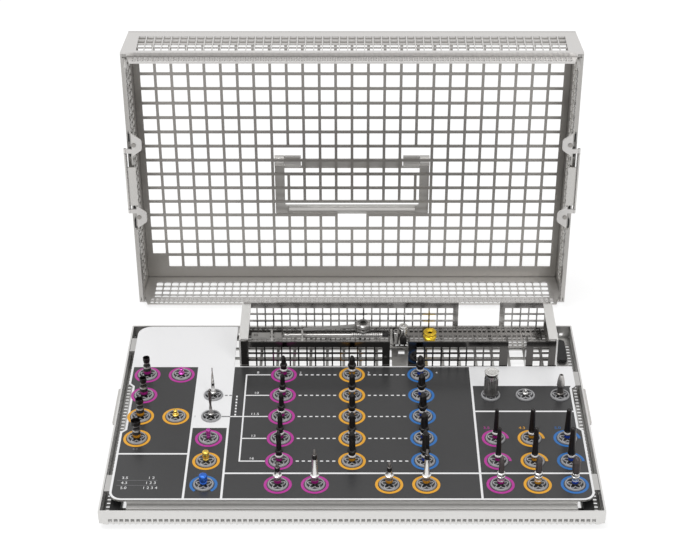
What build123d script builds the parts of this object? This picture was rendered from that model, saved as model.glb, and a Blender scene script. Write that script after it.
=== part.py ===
from build123d import *
import math
import os

# Surgical instrument kit: a shallow steel tray with an instrument plate, and a lid standing behind it.
# Millimetres, +X to the right, +Y to the back, +Z up, origin at the middle of the footprint on the table.

# Base tray
base_width = 282.0
base_depth = 182.0
base_wall_height = 9.4
base_sheet = 1.0
foot_lift = 3.4
base_corner_radius = 4.0
base_hole_pitch = 3.13
base_hole = 2.1
base_hole_drop = 6.5
base_hole_margin = 4.8
base_notch_depth = 1.0
floor_side_band = 9.5
floor_front_margin = 16.25
floor_rear_margin = 5.0
floor_edge = 2.4
floor_edge_columns = 3
floor_closed_column = 3
floor_closed_rows = (13, 14)
floor_single_hole = 4.0
floor_single_place = (31.4, 73.25)

# Feet, four rubber bars that pass through slots in the floor
foot_length = 22.5
foot_width = 6.0
foot_top_height = 2.2
foot_neck_inset = 0.8
foot_side_inset = 7.1
foot_end_inset = 6.0

# Receivers, the outward lips on the side walls that the lid's latches hook under
receiver_length = 34.6
receiver_reach = 1.2
receiver_thickness = 1.2
receiver_offset = 5.75

# Compartment behind the plate
compartment_width = 196.5
compartment_depth = 40.8
compartment_rear_gap = 2.4
compartment_right_gap = 13.1
compartment_sheet = 1.0
compartment_rear_height = 20.3
compartment_side_height = 19.7
compartment_front_height = 18.0
compartment_flange = 5.6
compartment_return = 6.0
wall_hole_pitch = 5.215
wall_hole = 4.3
wall_hole_top_margin = 3.9
shelf_rise = 4.9
shelf_depth = 14.25
shelf_first_row = 2.4
shelf_rows = 4
rear_gap_start = 137.3
rear_gap_width = 26.2
rear_gap_sill = 2.3
rear_left_columns = 25
rear_right_columns = 5
front_gap_starts = (93.0, 166.0)
front_gap_widths = (11.4, 11.3)
front_columns = (16, 10, 2)

# Instrument plate
plate_sheet = 1.2
plate_side_gap = 3.5
plate_front_gap = 9.0
plate_rear_gap = 0.3
plate_compartment_gap = 0.5
plate_step_gap = 3.5
plate_corner_radius = 7.0
plate_rear_radius = 8.5
plate_notch_depth = 2.6
plate_notch_shift = 1.75
left_notch_length = 47.6
right_notch_length = 43.6
plate_tab_length = 14.2
plate_tab_clearance = 0.3
plate_edge_step = 0.5
left_tab_places = (24.6, 160.6)
right_tab_places = (25.7, 124.5)
leg_length = 252.8
leg_sheet = 1.0
leg_flange = 3.7
leg_flange_drop = 4.0
leg_strip = 1.5
leg_strip_drop = 4.0

# Instrument holders, on a square grid
grid_pitch = 21.0
grid_rear_margin = 9.6
holder_diameter = 11.7
holder_neck_diameter = 10.2
holder_inner_diameter = 8.9
holder_rise = 1.1
holder_web = 0.8
holder_bore = 3.0
petal_diameter = 2.5
petal_circle = 6.0
petal_count = 5

# Instrument shanks and bodies
shank_diameter = 2.35
shank_drop = 6.6
seat_rise = 1.2
drill_lengths = (8.0, 10.0, 11.5, 13.0, 16.0)
drill_body_height = 7.0
drill_length_shown = 0.95
drill_diameters = (3.5, 4.3, 5.0)
mill_diameters = (4.4, 4.5, 5.1, 6.0)
mill_height = 13.2
mill_cup_depth = 3.0
mill_cup_wall = 0.5
guide_height = 5.9
precision_height = 21.8
twist_height = 20.6
twist_diameter = 2.0
indicator_heights = (6.8, 7.3, 7.3)
indicator_diameters = (2.9, 4.0, 4.8)
tall_driver_height = 25.2
short_driver_height = 16.0
knurled_height = 18.2
knurled_diameter = 8.4
machine_driver_height = 4.5
extension_height = 15.4
extension_bore = 1.6
dense_heights = (21.9, 24.6)
dense_diameters = ((3.3, 4.1, 4.7), (3.4, 3.9, 4.8))
tap_height = 20.0
tap_diameters = (3.3, 3.8, 4.9)
tap_collar = 4.6

# Tools lying in the compartment
rod_diameter = 2.4
rod_from_rear = 10.4
rod_rise = 2.0
rod_start = 26.0
rod_length = 67.6
grip_diameter = 3.4
grip_length = 24.0
wrench_head_diameter = 10.2
wrench_head_height = 5.5
wrench_head_bore = 4.0
head_before_end = 17.0
head_behind_rod = 4.0
spring_bar_length = 33.0
spring_bar_width = 2.2
spring_bar_height = 1.4
clip_sheet = 1.2
clip_width = 6.0
clip_rise = 5.5
clip_places = (18.8, 38.1, 94.5)
spanner_length = 19.0
spanner_gap = 1.2
spanner_width = 5.4
spanner_thickness = 1.4
adapter_place = 97.5
adapter_before_rod = 0.85
adapter_diameter = 4.2
adapter_height = 9.5
block_diameter = 5.6
block_height = 10.7
block_base = 4.7
block_behind_rod = 3.55
bit_place = 102.2
bit_before_rod = 1.85
bit_diameter = 4.4
bit_foot = 0.5
gold_place = 119.1
gold_diameter = 8.4
gold_height = 8.5
gold_bore = 2.6

# Lid, standing on its rear wall
lid_side_margin = 1.0
lid_end_margin = 0.7
lid_sheet = 1.0
lid_flare = 2.0
lid_wall_depth = 30.7
lid_stand_gap = 46.2
ledge_depth = 7.8
ledge_inset = 2.7
ledge_miter = 2.5
ledge_hole_rows = 2
ledge_first_row = 2.4
ledge_hole = 2.3
mesh_pitch = 10.43
mesh_hole = 8.63
mesh_columns = 26
mesh_rows = 16
lid_wall_first_row = 5.3
lid_wall_hole = 4.5
lid_wall_end = 4.0
lid_wall_rows = 4
lid_wall_columns = 51
hinge_rows = (7, 8)
hinge_opening_columns = (8, 16)
grip_row = 4
grip_columns = (8, 17)
finger_columns = (12, 13)

# Bail handle on the outside of the lid
handle_width = 101.8
handle_drop = 39.9
handle_strap = 6.3
handle_sheet = 1.6
handle_outer_radius = 1.2
handle_inner_radius = 1.4
handle_bar_length = 66.2
handle_bar_height = 6.4
handle_rail_height = 1.1
handle_rail_gap = 0.1
barrel_diameter = 7.6
knuckle_length = 10.6
knuckle_gap = 0.3
hinge_height = 88.6
grip_bar_diameter = 6.3
grip_bar_length = 84.0
handle_pin_diameter = 3.0
pin_clearance = 0.05
knuckle_standoff = 0.2

# Side latches, pivoting beside the ledge
latch_height = 96.6
latch_length = 40.0
latch_sheet = 0.8
latch_arm = 5.75
latch_arm_foot = 2.2
latch_arm_head = 9.9
latch_room = 0.5
latch_flange = 4.6
latch_hook = 0.5
latch_barrel = 2.0
latch_pin_diameter = 1.2
latch_pivot_out = 1.75
latch_pivot_in = 1.7
bracket_half = 8.1
bracket_tip = 3.4
bracket_tip_radius = 2.6
bracket_reach = 6.3
bracket_spacing = 52.6
bracket_sheet = 1.0
bracket_recess = 0.8
bracket_tab = 5.0
ear_length = 3.0
ear_gap = 0.4
notch_side_room = 0.6
notch_depth = 3.0
rivet_diameter = 2.6
rivet_height = 0.5
rivet_reach = 1.4
pad_sizes = ((0.0, 5.6), (-10.8, -5.2))
pad_width = 1.3
pad_height = 2.2

# Levels and faces worked out from the sizes above
floor_z = foot_lift + base_sheet
shelf_z = floor_z + shelf_rise
rim_z = foot_lift + base_wall_height
plate_bottom_z = rim_z - plate_sheet
depth_all = base_depth + lid_stand_gap + lid_wall_depth + knuckle_standoff + barrel_diameter
base_front_y = -depth_all / 2
base_rear_y = base_front_y + base_depth
base_half = base_width / 2
inner_half = base_half - base_sheet
inner_front_y = base_front_y + base_sheet
inner_rear_y = base_rear_y - base_sheet
compartment_right_x = inner_half - compartment_right_gap
compartment_left_x = compartment_right_x - compartment_width
compartment_rear_y = inner_rear_y - compartment_rear_gap
compartment_front_y = compartment_rear_y - compartment_depth
plate_half = inner_half - plate_side_gap
plate_front_y = inner_front_y + plate_front_gap
plate_rear_y = inner_rear_y - plate_rear_gap
plate_main_rear_y = compartment_front_y - plate_compartment_gap
plate_step_x = compartment_left_x - plate_step_gap
grid_rear_y = compartment_front_y - grid_rear_margin
receiver_y = (base_front_y + base_rear_y) / 2 + receiver_offset
plate_notch_y = receiver_y - plate_notch_shift
rod_y = compartment_rear_y - rod_from_rear
rod_z = rim_z + rod_rise
lid_half = base_half + lid_side_margin
lid_height = base_depth + 2 * lid_end_margin
lid_near_y = base_rear_y + lid_stand_gap
ledge_tip_y = lid_near_y - ledge_depth
panel_outer_y = lid_near_y + lid_wall_depth
panel_inner_y = panel_outer_y - lid_sheet
panel_half = lid_half - lid_flare
ledge_outer = lid_half - ledge_inset
ledge_inner = ledge_outer - lid_sheet
hinge_y = panel_outer_y + knuckle_standoff + barrel_diameter / 2
latch_pivot_x = ledge_inner + lid_sheet + ledge_inset + latch_pivot_out - lid_side_margin
latch_pivot_y = ledge_tip_y + latch_pivot_in
latch_low_z = latch_height - latch_length / 2
latch_high_z = latch_height + latch_length / 2


def flat_sheet(outline, holes, thickness):
    """A flat sheet over a closed outline of (u, v) points, with square-cornered holes through it."""
    outer = Wire.make_polygon([Vector(u, v, 0) for u, v in outline], close=True)
    inner = [Wire.make_polygon([Vector(u, v, 0) for u, v in hole], close=True) for hole in holes]
    return extrude(Face(outer, inner), amount=thickness, dir=(0, 0, 1))


def rectangle(low_u, low_v, high_u, high_v):
    return [(low_u, low_v), (high_u, low_v), (high_u, high_v), (low_u, high_v)]


def square_hole(u, v, width, height=None):
    half_u = width / 2
    half_v = (height or width) / 2
    return rectangle(u - half_u, v - half_v, u + half_u, v + half_v)


def spread(length, pitch):
    """Centres of as many holes as fit a length, evenly about its middle."""
    count = max(int(length / pitch), 1)
    return [(i - (count - 1) / 2) * pitch for i in range(count)]


def row_of(first, count, pitch):
    return [first + i * pitch for i in range(count)]


def facing_front(solid, y):
    """Stand a sheet drawn in X and Z upright, with its front face at y."""
    return Pos(0, y, 0) * Rot(90, 0, 0) * Pos(0, 0, -solid.bounding_box().size.Z) * solid


def facing_side(solid, x):
    """Stand a sheet drawn in Y and Z upright, with its left face at x."""
    return Plane(origin=(x, 0, 0), x_dir=(0, 1, 0), z_dir=(1, 0, 0)).location * solid


def block(low, high):
    size = [b - a for a, b in zip(low, high)]
    return Pos(*low) * Box(*size, align=(Align.MIN, Align.MIN, Align.MIN))


def turned(profile, x=0.0, y=0.0, z=0.0):
    """A turned piece from (radius, height) points that start and end on the axis."""
    face = make_face(Polyline(*[(radius, 0, height) for radius, height in profile], close=True))
    return Pos(x, y, z) * revolve(face, Axis.Z)


def grid_place(column, row):
    """Where a holder's centre is: columns from the middle, rows from the back."""
    return column * grid_pitch, grid_rear_y - row * grid_pitch


def rounded_plate(points, radii, thickness):
    """A flat plate over a closed outline, each corner rounded to its own radius."""
    plate = extrude(make_face(Polyline(*points, close=True)), amount=thickness)
    for radius in sorted({r for r in radii if r}):
        corners = [corner for corner, used in zip(points, radii) if used == radius]
        edges = [edge_at(plate, u, v) for u, v in corners]
        plate = fillet(edges, radius)
    return plate


def edge_at(plate, u, v):
    """The upright edge of a plate nearest to a corner of its outline."""
    return min(plate.edges().filter_by(Axis.Z), key=lambda e: math.hypot(e.center().X - u, e.center().Y - v))


# Base tray


def base_floor():
    """The floor's mesh, with columns of small holes along its sides and slots for the feet."""
    holes = []
    columns = spread(2 * (inner_half - floor_side_band), mesh_pitch)
    first = inner_front_y + floor_front_margin
    rows = row_of(first, int((inner_rear_y - floor_rear_margin - first) / mesh_pitch) + 1, mesh_pitch)
    for u in columns:
        for number, v in enumerate(rows):
            closed = round(u / mesh_pitch) == floor_closed_column and number in floor_closed_rows
            if not closed:
                holes.append(square_hole(u, v, mesh_hole))
    single_x, single_rise = floor_single_place
    holes.append(square_hole(single_x, base_rear_y - base_depth / 2 + single_rise, floor_single_hole))
    middle = (inner_front_y + inner_rear_y) / 2
    for side in (-1, 1):
        for u in row_of(inner_half - floor_edge, floor_edge_columns, -base_hole_pitch):
            for v in spread(base_depth - 2 * floor_side_band, base_hole_pitch):
                holes.append(square_hole(side * u, middle + v, base_hole))
    for x, y in foot_places():
        width = foot_width - 2 * foot_neck_inset
        length = foot_length - 2 * foot_neck_inset
        kept = [h for h in holes if clear_of(h, x, y, foot_width, foot_length)]
        holes = kept + [square_hole(x, y, width, length)]
    sheet = flat_sheet(rectangle(-inner_half, inner_front_y, inner_half, inner_rear_y), holes, base_sheet)
    return [Pos(0, 0, foot_lift) * sheet]


def clear_of(hole, x, y, width, length):
    """Whether a hole lies outside a foot's pads, so that no edge is left in the air."""
    out_x = hole[0][0] > x + width / 2 or hole[1][0] < x - width / 2
    out_y = hole[0][1] > y + length / 2 or hole[2][1] < y - length / 2
    return out_x or out_y


def wall_outline(half, notches):
    """A wall's outline with its lower corners cut off as pressed corners are rounded, and notches between."""
    steps = 4
    low = foot_lift
    points = []
    for i in range(steps + 1):
        a = math.pi / 2 * i / steps
        across = half - base_corner_radius * (1 - math.sin(a))
        up = low + base_corner_radius * (1 - math.cos(a))
        points.append((across, up))
    right = points + [(half, rim_z)]
    outline = right + [(-u, v) for u, v in reversed(right)]
    top = low + base_notch_depth
    for middle in notches:
        if abs(middle) + base_hole / 2 < half - base_corner_radius:
            left_u = middle - base_hole / 2
            right_u = middle + base_hole / 2
            outline += [(left_u, low), (left_u, top), (right_u, top), (right_u, low)]
    return outline


def long_wall(y):
    centres = spread(base_width - 2 * base_hole_margin, base_hole_pitch)
    holes = [square_hole(u, rim_z - base_hole_drop, base_hole) for u in centres]
    return facing_front(flat_sheet(wall_outline(base_half, centres), holes, base_sheet), y)


def side_wall(x):
    middle = (inner_front_y + inner_rear_y) / 2
    length = base_depth - 2 * base_sheet
    holes = [square_hole(middle + u, rim_z - base_hole_drop, base_hole)
             for u in spread(length - 2 * base_hole_margin, base_hole_pitch)]
    outline = rectangle(inner_front_y, foot_lift, inner_rear_y, rim_z)
    return facing_side(flat_sheet(outline, holes, base_sheet), x)


def base_front_wall():
    return [long_wall(base_front_y)]


def base_rear_wall():
    return [long_wall(inner_rear_y)]


def base_left_wall():
    return [side_wall(-base_half)]


def base_right_wall():
    return [side_wall(inner_half)]


def latch_receiver(side):
    """A folded lip that stands out of a side wall at the rim."""
    near = side * base_half
    far = side * (base_half + receiver_reach)
    low = (min(near, far), receiver_y - receiver_length / 2, rim_z - receiver_thickness)
    high = (max(near, far), receiver_y + receiver_length / 2, rim_z)
    lip = block(low, high)
    corners = [e for e in lip.edges().filter_by(Axis.Z) if abs(e.center().X - far) < 0.01]
    return [fillet(corners, receiver_reach * 0.8)]


def foot_places():
    x = inner_half - foot_side_inset
    front = inner_front_y + foot_end_inset + foot_length / 2
    rear = inner_rear_y - foot_end_inset - foot_length / 2
    return [(sx * x, y) for sx in (-1, 1) for y in (front, rear)]


def base_feet():
    feet = []
    for x, y in foot_places():
        pad = SlotOverall(foot_length, foot_width, rotation=90)
        lower = Pos(x, y, 0) * extrude(pad, amount=foot_lift)
        upper = Pos(x, y, floor_z) * extrude(pad, amount=foot_top_height)
        neck_size = (foot_width - 2 * foot_neck_inset, foot_length - 2 * foot_neck_inset)
        neck = Pos(x, y, foot_lift) * extrude(Rectangle(*neck_size), amount=base_sheet)
        feet.append(lower + neck + upper)
    return feet


# Instrument plate


def plate_holes():
    return [grid_place(c, r) for c, r in all_places()]


def plate_edge(side, tabs, notch_length):
    """One side edge of the plate, from front to back, with its tabs and its notch."""
    edge = side * plate_half
    tab = side * (inner_half - plate_tab_clearance)
    notch = side * (plate_half - plate_notch_depth)
    stops = [(y - plate_tab_length / 2, y + plate_tab_length / 2, tab, 0) for y in tabs]
    ramp = plate_notch_depth
    stops.append((plate_notch_y - notch_length / 2, plate_notch_y + notch_length / 2, notch, ramp))
    points = [(edge, plate_front_y)]
    for low, high, level, slope in sorted(stops):
        low = max(low, points[-1][1] + plate_edge_step)
        points += [(edge, low), (level, low + slope), (level, high - slope), (edge, high)]
    return points + [(edge, plate_main_rear_y)]


def instrument_plate():
    """The sheet that carries the holders, drawn as its front field and its rear left field."""
    right_side = plate_edge(1, [base_front_y + y for y in right_tab_places], right_notch_length)
    left_side = plate_edge(-1, [base_front_y + left_tab_places[0]], left_notch_length)
    corners = right_side + list(reversed(left_side))
    room = min(right_side[1][1], left_side[1][1]) - plate_front_y
    front_radius = min(plate_corner_radius, 0.95 * room)
    radii = [front_radius] + [0] * (len(corners) - 2) + [front_radius]
    front_field = rounded_plate(corners, radii, plate_sheet)
    for x, y in plate_holes():
        front_field -= Pos(x, y, 0) * Cylinder(holder_neck_diameter / 2, 4 * plate_sheet)
    rear_tab = base_front_y + left_tab_places[1]
    tab_x = -(inner_half - plate_tab_clearance)
    rear_corners = [
        (-plate_half, plate_main_rear_y),
        (plate_step_x, plate_main_rear_y),
        (plate_step_x, plate_rear_y),
        (-plate_half, plate_rear_y),
        (-plate_half, rear_tab + plate_tab_length / 2),
        (tab_x, rear_tab + plate_tab_length / 2),
        (tab_x, rear_tab - plate_tab_length / 2),
        (-plate_half, rear_tab - plate_tab_length / 2),
    ]
    room = plate_rear_y - rear_tab - plate_tab_length / 2
    rear_radius = min(plate_rear_radius, 0.95 * room)
    rear_field = rounded_plate(rear_corners, [0, 0, 0, rear_radius, 0, 0, 0, 0], plate_sheet)
    return [Pos(0, 0, plate_bottom_z) * field for field in (front_field, rear_field)]


def plate_legs():
    """A front leg with its forward flange, a rear left leg, and a strip that joins the compartment."""
    half = leg_length / 2
    web_front = plate_front_y + leg_sheet / 2
    web = block((-half, web_front, floor_z), (half, web_front + leg_sheet, plate_bottom_z))
    flange_top = rim_z - leg_flange_drop
    flange_low = (-half, web_front - leg_flange, flange_top - leg_sheet)
    flange = block(flange_low, (half, web_front, flange_top))
    rear_low = (-plate_half + plate_corner_radius, plate_rear_y - 2 * leg_sheet, floor_z)
    rear_high = (plate_step_x - leg_sheet, plate_rear_y - leg_sheet, plate_bottom_z)
    strip_low = (compartment_left_x, compartment_front_y - leg_strip, plate_bottom_z - leg_strip_drop)
    strip = block(strip_low, (compartment_right_x, compartment_front_y, plate_bottom_z))
    return [web + flange, block(rear_low, rear_high), strip]


def instrument_holders():
    """Moulded grommets: a collar above and below the plate and a web of petals round the bore."""
    outer = holder_diameter / 2
    neck = holder_neck_diameter / 2
    inner = holder_inner_diameter / 2
    web_low = plate_sheet + holder_rise - 2 * holder_web
    web_high = web_low + holder_web
    profile = [
        (holder_bore / 2, web_low), (inner, web_low), (inner, -holder_rise),
        (outer, -holder_rise), (outer, 0), (neck, 0), (neck, plate_sheet), (outer, plate_sheet),
        (outer, plate_sheet + holder_rise * 0.6), (outer - holder_rise * 0.4, plate_sheet + holder_rise),
        (inner, plate_sheet + holder_rise), (inner, web_high), (holder_bore / 2, web_high),
    ]
    holder = turned(profile)
    turn = 360 / petal_count
    for i in range(petal_count):
        opening = Cylinder(petal_diameter / 2, 4 * plate_sheet)
        holder -= Rot(0, 0, 90 + i * turn) * Pos(petal_circle / 2, 0, plate_sheet) * opening
    return [Pos(x, y, plate_bottom_z) * holder for x, y in plate_holes()]


# Rear compartment


def compartment_rows(top, bottom):
    """Heights of the rows of holes from a margin under the top edge down to a level."""
    first = top - wall_hole_top_margin - wall_hole / 2
    count = int((first - wall_hole / 2 - bottom) / wall_hole_pitch) + 1
    return [first - i * wall_hole_pitch for i in range(count)]


def compartment_rear_wall():
    top = rim_z + compartment_rear_height
    left = compartment_left_x + compartment_sheet
    right = compartment_right_x - compartment_sheet
    gap_left = compartment_left_x + rear_gap_start
    gap_right = gap_left + rear_gap_width
    sill = rim_z + rear_gap_sill
    low = shelf_z - compartment_sheet
    outline = [(left, low), (right, low), (right, top), (gap_right, top),
               (gap_right, sill), (gap_left, sill), (gap_left, top), (left, top)]
    holes = []
    for start, end, count in ((left, gap_left, rear_left_columns), (gap_right, right, rear_right_columns)):
        for u in centred(start, end, count):
            holes += [square_hole(u, v, wall_hole) for v in compartment_rows(top, shelf_z)]
    sheet = flat_sheet(outline, holes, compartment_sheet)
    return [facing_front(sheet, compartment_rear_y - compartment_sheet)]


def compartment_shelf():
    """The perforated shelf at the foot of the rear wall, which the standing tools rest on."""
    left = compartment_left_x + compartment_sheet
    right = compartment_right_x - compartment_sheet
    rear = compartment_rear_y - compartment_sheet
    front = rear - shelf_depth
    holes = []
    for u in spread(right - left - base_hole_pitch, base_hole_pitch):
        for v in row_of(front + shelf_first_row, shelf_rows, base_hole_pitch):
            holes.append(square_hole((left + right) / 2 + u, v, base_hole))
    sheet = flat_sheet(rectangle(left, front, right, rear), holes, compartment_sheet)
    return [Pos(0, 0, shelf_z - compartment_sheet) * sheet]


def centred(low, high, count):
    """A count of holes about the middle of a stretch, fewer if the stretch has no room for them."""
    fit = int((high - low - compartment_sheet) / wall_hole_pitch)
    count = max(min(count, fit), 1)
    return row_of((low + high) / 2 - (count - 1) / 2 * wall_hole_pitch, count, wall_hole_pitch)


def front_segments():
    """The low and high X of the three stretches of the compartment's front wall."""
    edges = [compartment_left_x + compartment_sheet]
    for start, width in zip(front_gap_starts, front_gap_widths):
        edges += [compartment_left_x + start, compartment_left_x + start + width]
    edges.append(compartment_right_x - compartment_sheet)
    return list(zip(edges[0::2], edges[1::2]))


def compartment_front_wall():
    top = rim_z + compartment_front_height
    pieces = []
    for number, ((low, high), count) in enumerate(zip(front_segments(), front_columns)):
        holes = []
        for u in centred(low, high, count):
            holes += [square_hole(u, v, wall_hole) for v in compartment_rows(top, floor_z + base_sheet)]
        sheet = facing_front(flat_sheet(rectangle(low, floor_z, high, top), holes, compartment_sheet),
                             compartment_front_y)
        back = compartment_front_y + compartment_sheet
        ends = [x for x, used in ((high - compartment_sheet, number < 2), (low, number > 0)) if used]
        for x in ends:
            sheet += block((x, back, floor_z), (x + compartment_sheet, back + compartment_return, top))
        pieces.append(sheet)
    return pieces


def compartment_side_wall(side):
    """A side wall with its flange folded inwards along the top, rounded at the rear corner."""
    outer = compartment_left_x if side < 0 else compartment_right_x
    left = outer if side < 0 else outer - compartment_sheet
    top = rim_z + compartment_side_height
    middle = (compartment_front_y + compartment_rear_y) / 2
    columns = spread(compartment_depth - 2 * compartment_return, wall_hole_pitch)
    holes = []
    for u in columns:
        holes += [square_hole(middle + u, v, wall_hole) for v in compartment_rows(top, floor_z + base_sheet)]
    outline = rectangle(compartment_front_y, floor_z, compartment_rear_y, top)
    wall = facing_side(flat_sheet(outline, holes, compartment_sheet), left)
    inner = left + compartment_sheet if side < 0 else left
    reach = inner - side * (compartment_flange - compartment_sheet)
    front = compartment_front_y + compartment_sheet
    rear = compartment_rear_y - compartment_sheet
    low = (min(inner, reach), front, top - compartment_sheet)
    high = (max(inner, reach), rear, top)
    return [wall + block(low, high)]


# Tools in the compartment


def wire_clips():
    """Upright forks that the tools lie in."""
    clips = []
    for place in clip_places:
        x = compartment_left_x + place
        low = (x - clip_sheet / 2, rod_y - clip_width / 2, shelf_z)
        fork = block(low, (x + clip_sheet / 2, rod_y + clip_width / 2, rod_z + clip_rise))
        seat = rod_z - rod_diameter / 2
        slot_half = rod_diameter / 2 + pin_clearance
        gap_high = (x + clip_sheet, rod_y + slot_half, rod_z + 2 * clip_rise)
        gap = block((x - clip_sheet, rod_y - slot_half, seat), gap_high)
        clips.append(fork - gap)
    return clips


def wrench_body():
    """The rod of the torque wrench, with its ribbed grip at the right end."""
    start = compartment_left_x + rod_start
    ribs = 8
    rib = grip_length / (2 * ribs)
    plain = rod_length - grip_length
    profile = [(0, 0), (rod_diameter * 0.3, 0), (rod_diameter / 2, rod_diameter * 0.3),
               (rod_diameter / 2, plain)]
    for i in range(ribs):
        at = plain + 2 * i * rib
        profile += [(grip_diameter / 2, at), (grip_diameter / 2, at + rib)]
        profile += [(grip_diameter / 2 - 0.25, at + rib), (grip_diameter / 2 - 0.25, at + 2 * rib)]
    profile += [(0, rod_length)]
    return [Pos(start, rod_y, rod_z) * Rot(0, 90, 0) * turned(profile)]


def head_place():
    x = compartment_left_x + rod_start + rod_length - head_before_end
    return x, rod_y + head_behind_rod, rod_z + grip_diameter / 2


def wrench_head():
    x, y, z = head_place()
    outer = wrench_head_diameter / 2
    edge = 0.8
    profile = [(wrench_head_bore / 2, 0), (outer - edge, 0), (outer, edge),
               (outer, wrench_head_height - edge),
               (outer - edge, wrench_head_height), (wrench_head_bore / 2, wrench_head_height)]
    return [turned(profile, x, y, z)]


def wrench_spring_bar():
    """The flexible bar that shows the torque, running from the head towards the rod's plain end."""
    x, y, z = head_place()
    root_x = x - wrench_head_diameter / 2
    lift = (wrench_head_height - spring_bar_height) / 2
    outline = [
        (root_x + 0.4, y - spring_bar_width / 2),
        (root_x + 0.4, y + spring_bar_width / 2),
        (root_x - spring_bar_length, rod_y + spring_bar_width / 4),
        (root_x - spring_bar_length, rod_y - spring_bar_width / 4),
    ]
    bar = Pos(0, 0, z + lift) * flat_sheet(outline, [], spring_bar_height)
    return [bar - wrench_head()[0] - Pos(x, y, z) * Cylinder(wrench_head_diameter / 2, 40)]


def flat_spanner():
    """A small flat key that ends short of the rod, with a waist where the first clip holds it."""
    waist = compartment_left_x + clip_places[0]
    seat = rod_z - rod_diameter / 2
    neck = rod_diameter / 2 - pin_clearance
    high = compartment_left_x + rod_start - spanner_gap
    low = high - spanner_length
    wide = spanner_width / 2
    near = waist - clip_sheet
    far = waist + clip_sheet
    outline = [(low, -wide), (near, -wide), (near, -neck), (far, -neck), (far, -wide), (high, -wide),
               (high, wide), (far, wide), (far, neck), (near, neck), (near, wide), (low, wide)]
    key = flat_sheet(outline, [square_hole(low + wide, 0, wide)], spanner_thickness)
    return [Pos(0, rod_y, seat) * key]


def driver_adapter():
    """A slim stepped post and, behind the bit, a short block on a narrower foot."""
    outer = adapter_diameter / 2
    top = adapter_height
    post = [(0, 0), (outer * 0.8, 0), (outer * 0.8, top - 4.0), (outer, top - 3.8), (outer, top - 0.5),
            (outer - 0.5, top), (0, top)]
    wide = block_diameter / 2
    foot = wide * 0.6
    short = [(0, 0), (foot, 0), (foot, block_base), (wide, block_base), (wide, block_height - 0.4),
             (wide - 0.4, block_height), (0, block_height)]
    post_x = compartment_left_x + adapter_place
    short_x = compartment_left_x + bit_place
    return [turned(post, post_x, rod_y - adapter_before_rod, shelf_z),
            turned(short, short_x, rod_y + block_behind_rod, shelf_z)]


def adapter_bit():
    """A ribbed bit that stands beside the adapter's post."""
    outer = bit_diameter / 2
    top = rod_z - shelf_z
    profile = [(0, 0), (outer * 0.6, 0), (outer * 0.6, bit_foot), (outer, bit_foot),
               (outer, top - 3.2), (outer * 0.7, top - 3.0), (outer * 0.7, top - 2.4), (outer, top - 2.2),
               (outer, top - 0.5), (outer - 0.5, top), (0, top)]
    return [turned(profile, compartment_left_x + bit_place, rod_y - bit_before_rod, shelf_z)]


def gold_guide():
    """A flanged gold sleeve with a groove and a bore, standing on the shelf."""
    outer = gold_diameter / 2
    groove = outer - 1.2
    bore = gold_bore / 2
    profile = [(bore, 0), (outer - 0.6, 0), (outer - 0.6, gold_height - 4.6), (outer, gold_height - 4.2),
               (outer, gold_height - 3.4), (groove, gold_height - 2.8), (groove, gold_height - 1.8),
               (outer, gold_height - 1.2), (outer, gold_height - 0.4), (outer - 0.4, gold_height),
               (bore, gold_height)]
    return [turned(profile, compartment_left_x + gold_place, rod_y, shelf_z)]


# Instruments, each standing on its shank in a holder


def instrument(profile, place):
    """A turned instrument on its shank, given as (radius, height above the plate) points."""
    x, y = grid_place(*place)
    radius = shank_diameter / 2
    points = [(0, -shank_drop), (radius * 0.7, -shank_drop), (radius, 0.6 - shank_drop), (radius, seat_rise)]
    return turned(points + profile, x, y, rim_z)


def mill(number):
    outer = mill_diameters[number] / 2
    cup = mill_height - mill_cup_depth
    profile = [(2.3, seat_rise), (2.4, 6.2), (1.9, 6.5), (2.1, 6.9), (2.1, 7.5), (1.8, 7.7), (1.7, cup - 1.2),
               (1.7, cup - 0.6), (outer, cup + 0.4), (outer, mill_height), (outer - mill_cup_wall,
                                                                            mill_height),
               (outer - mill_cup_wall, cup + 0.6), (0, cup + 0.6)]
    return [instrument(profile, (-6, number))]


def guide(row):
    top = guide_height
    profile = [(1.9, seat_rise), (1.9, 2.0), (1.3, 2.3), (1.3, 3.0), (0.9, 3.2), (0.9, 4.0), (1.2, 4.2),
               (1.2, 4.8), (0.8, 5.0), (0.6, top), (0, top)]
    return [instrument(profile, (-5, row))]


def precision_drill():
    top = precision_height
    profile = [(2.1, seat_rise), (2.1, 3.4), (1.6, 3.8), (1.6, 6.2), (1.0, 6.8), (1.0, top * 0.5),
               (0.35, top - 0.8), (0, top)]
    return [instrument(profile, (-4, 1))]


def twist_drill():
    top = twist_height
    cutter = twist_diameter / 2
    profile = [(2.1, seat_rise), (2.1, 3.4), (1.6, 3.8), (1.6, 6.2), (cutter, 6.8), (cutter, top - 1.0),
               (0, top)]
    return [instrument(profile, (-4, 2))]


def indicator(number):
    top = indicator_heights[number]
    head = indicator_diameters[number] / 2
    profile = [(2.0, seat_rise), (2.0, 2.6), (1.4, 3.0), (1.4, 3.8), (head, 4.3), (head, top - 0.8),
               (head - 0.5, top), (0, top)]
    return [instrument(profile, (-4, 3 + number))]


def tapered_drills(number, column):
    """Five drills of one diameter and rising length, down one column of the plate."""
    outer = drill_diameters[number] / 2
    drills = []
    for row, length in enumerate(drill_lengths):
        top = drill_body_height + drill_length_shown * length
        profile = [(2.1, seat_rise), (2.1, 2.8), (2.2, 2.8), (2.2, 3.5), (1.9, 3.7), (1.9, 5.6), (1.4, 6.0),
                   (1.4, 6.8), (outer, 7.4), (outer * 0.92, 7.4 + length * 0.5), (outer * 0.62, top - 1.0),
                   (0, top)]
        drills.append(instrument(profile, (column, row)))
    return drills


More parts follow.
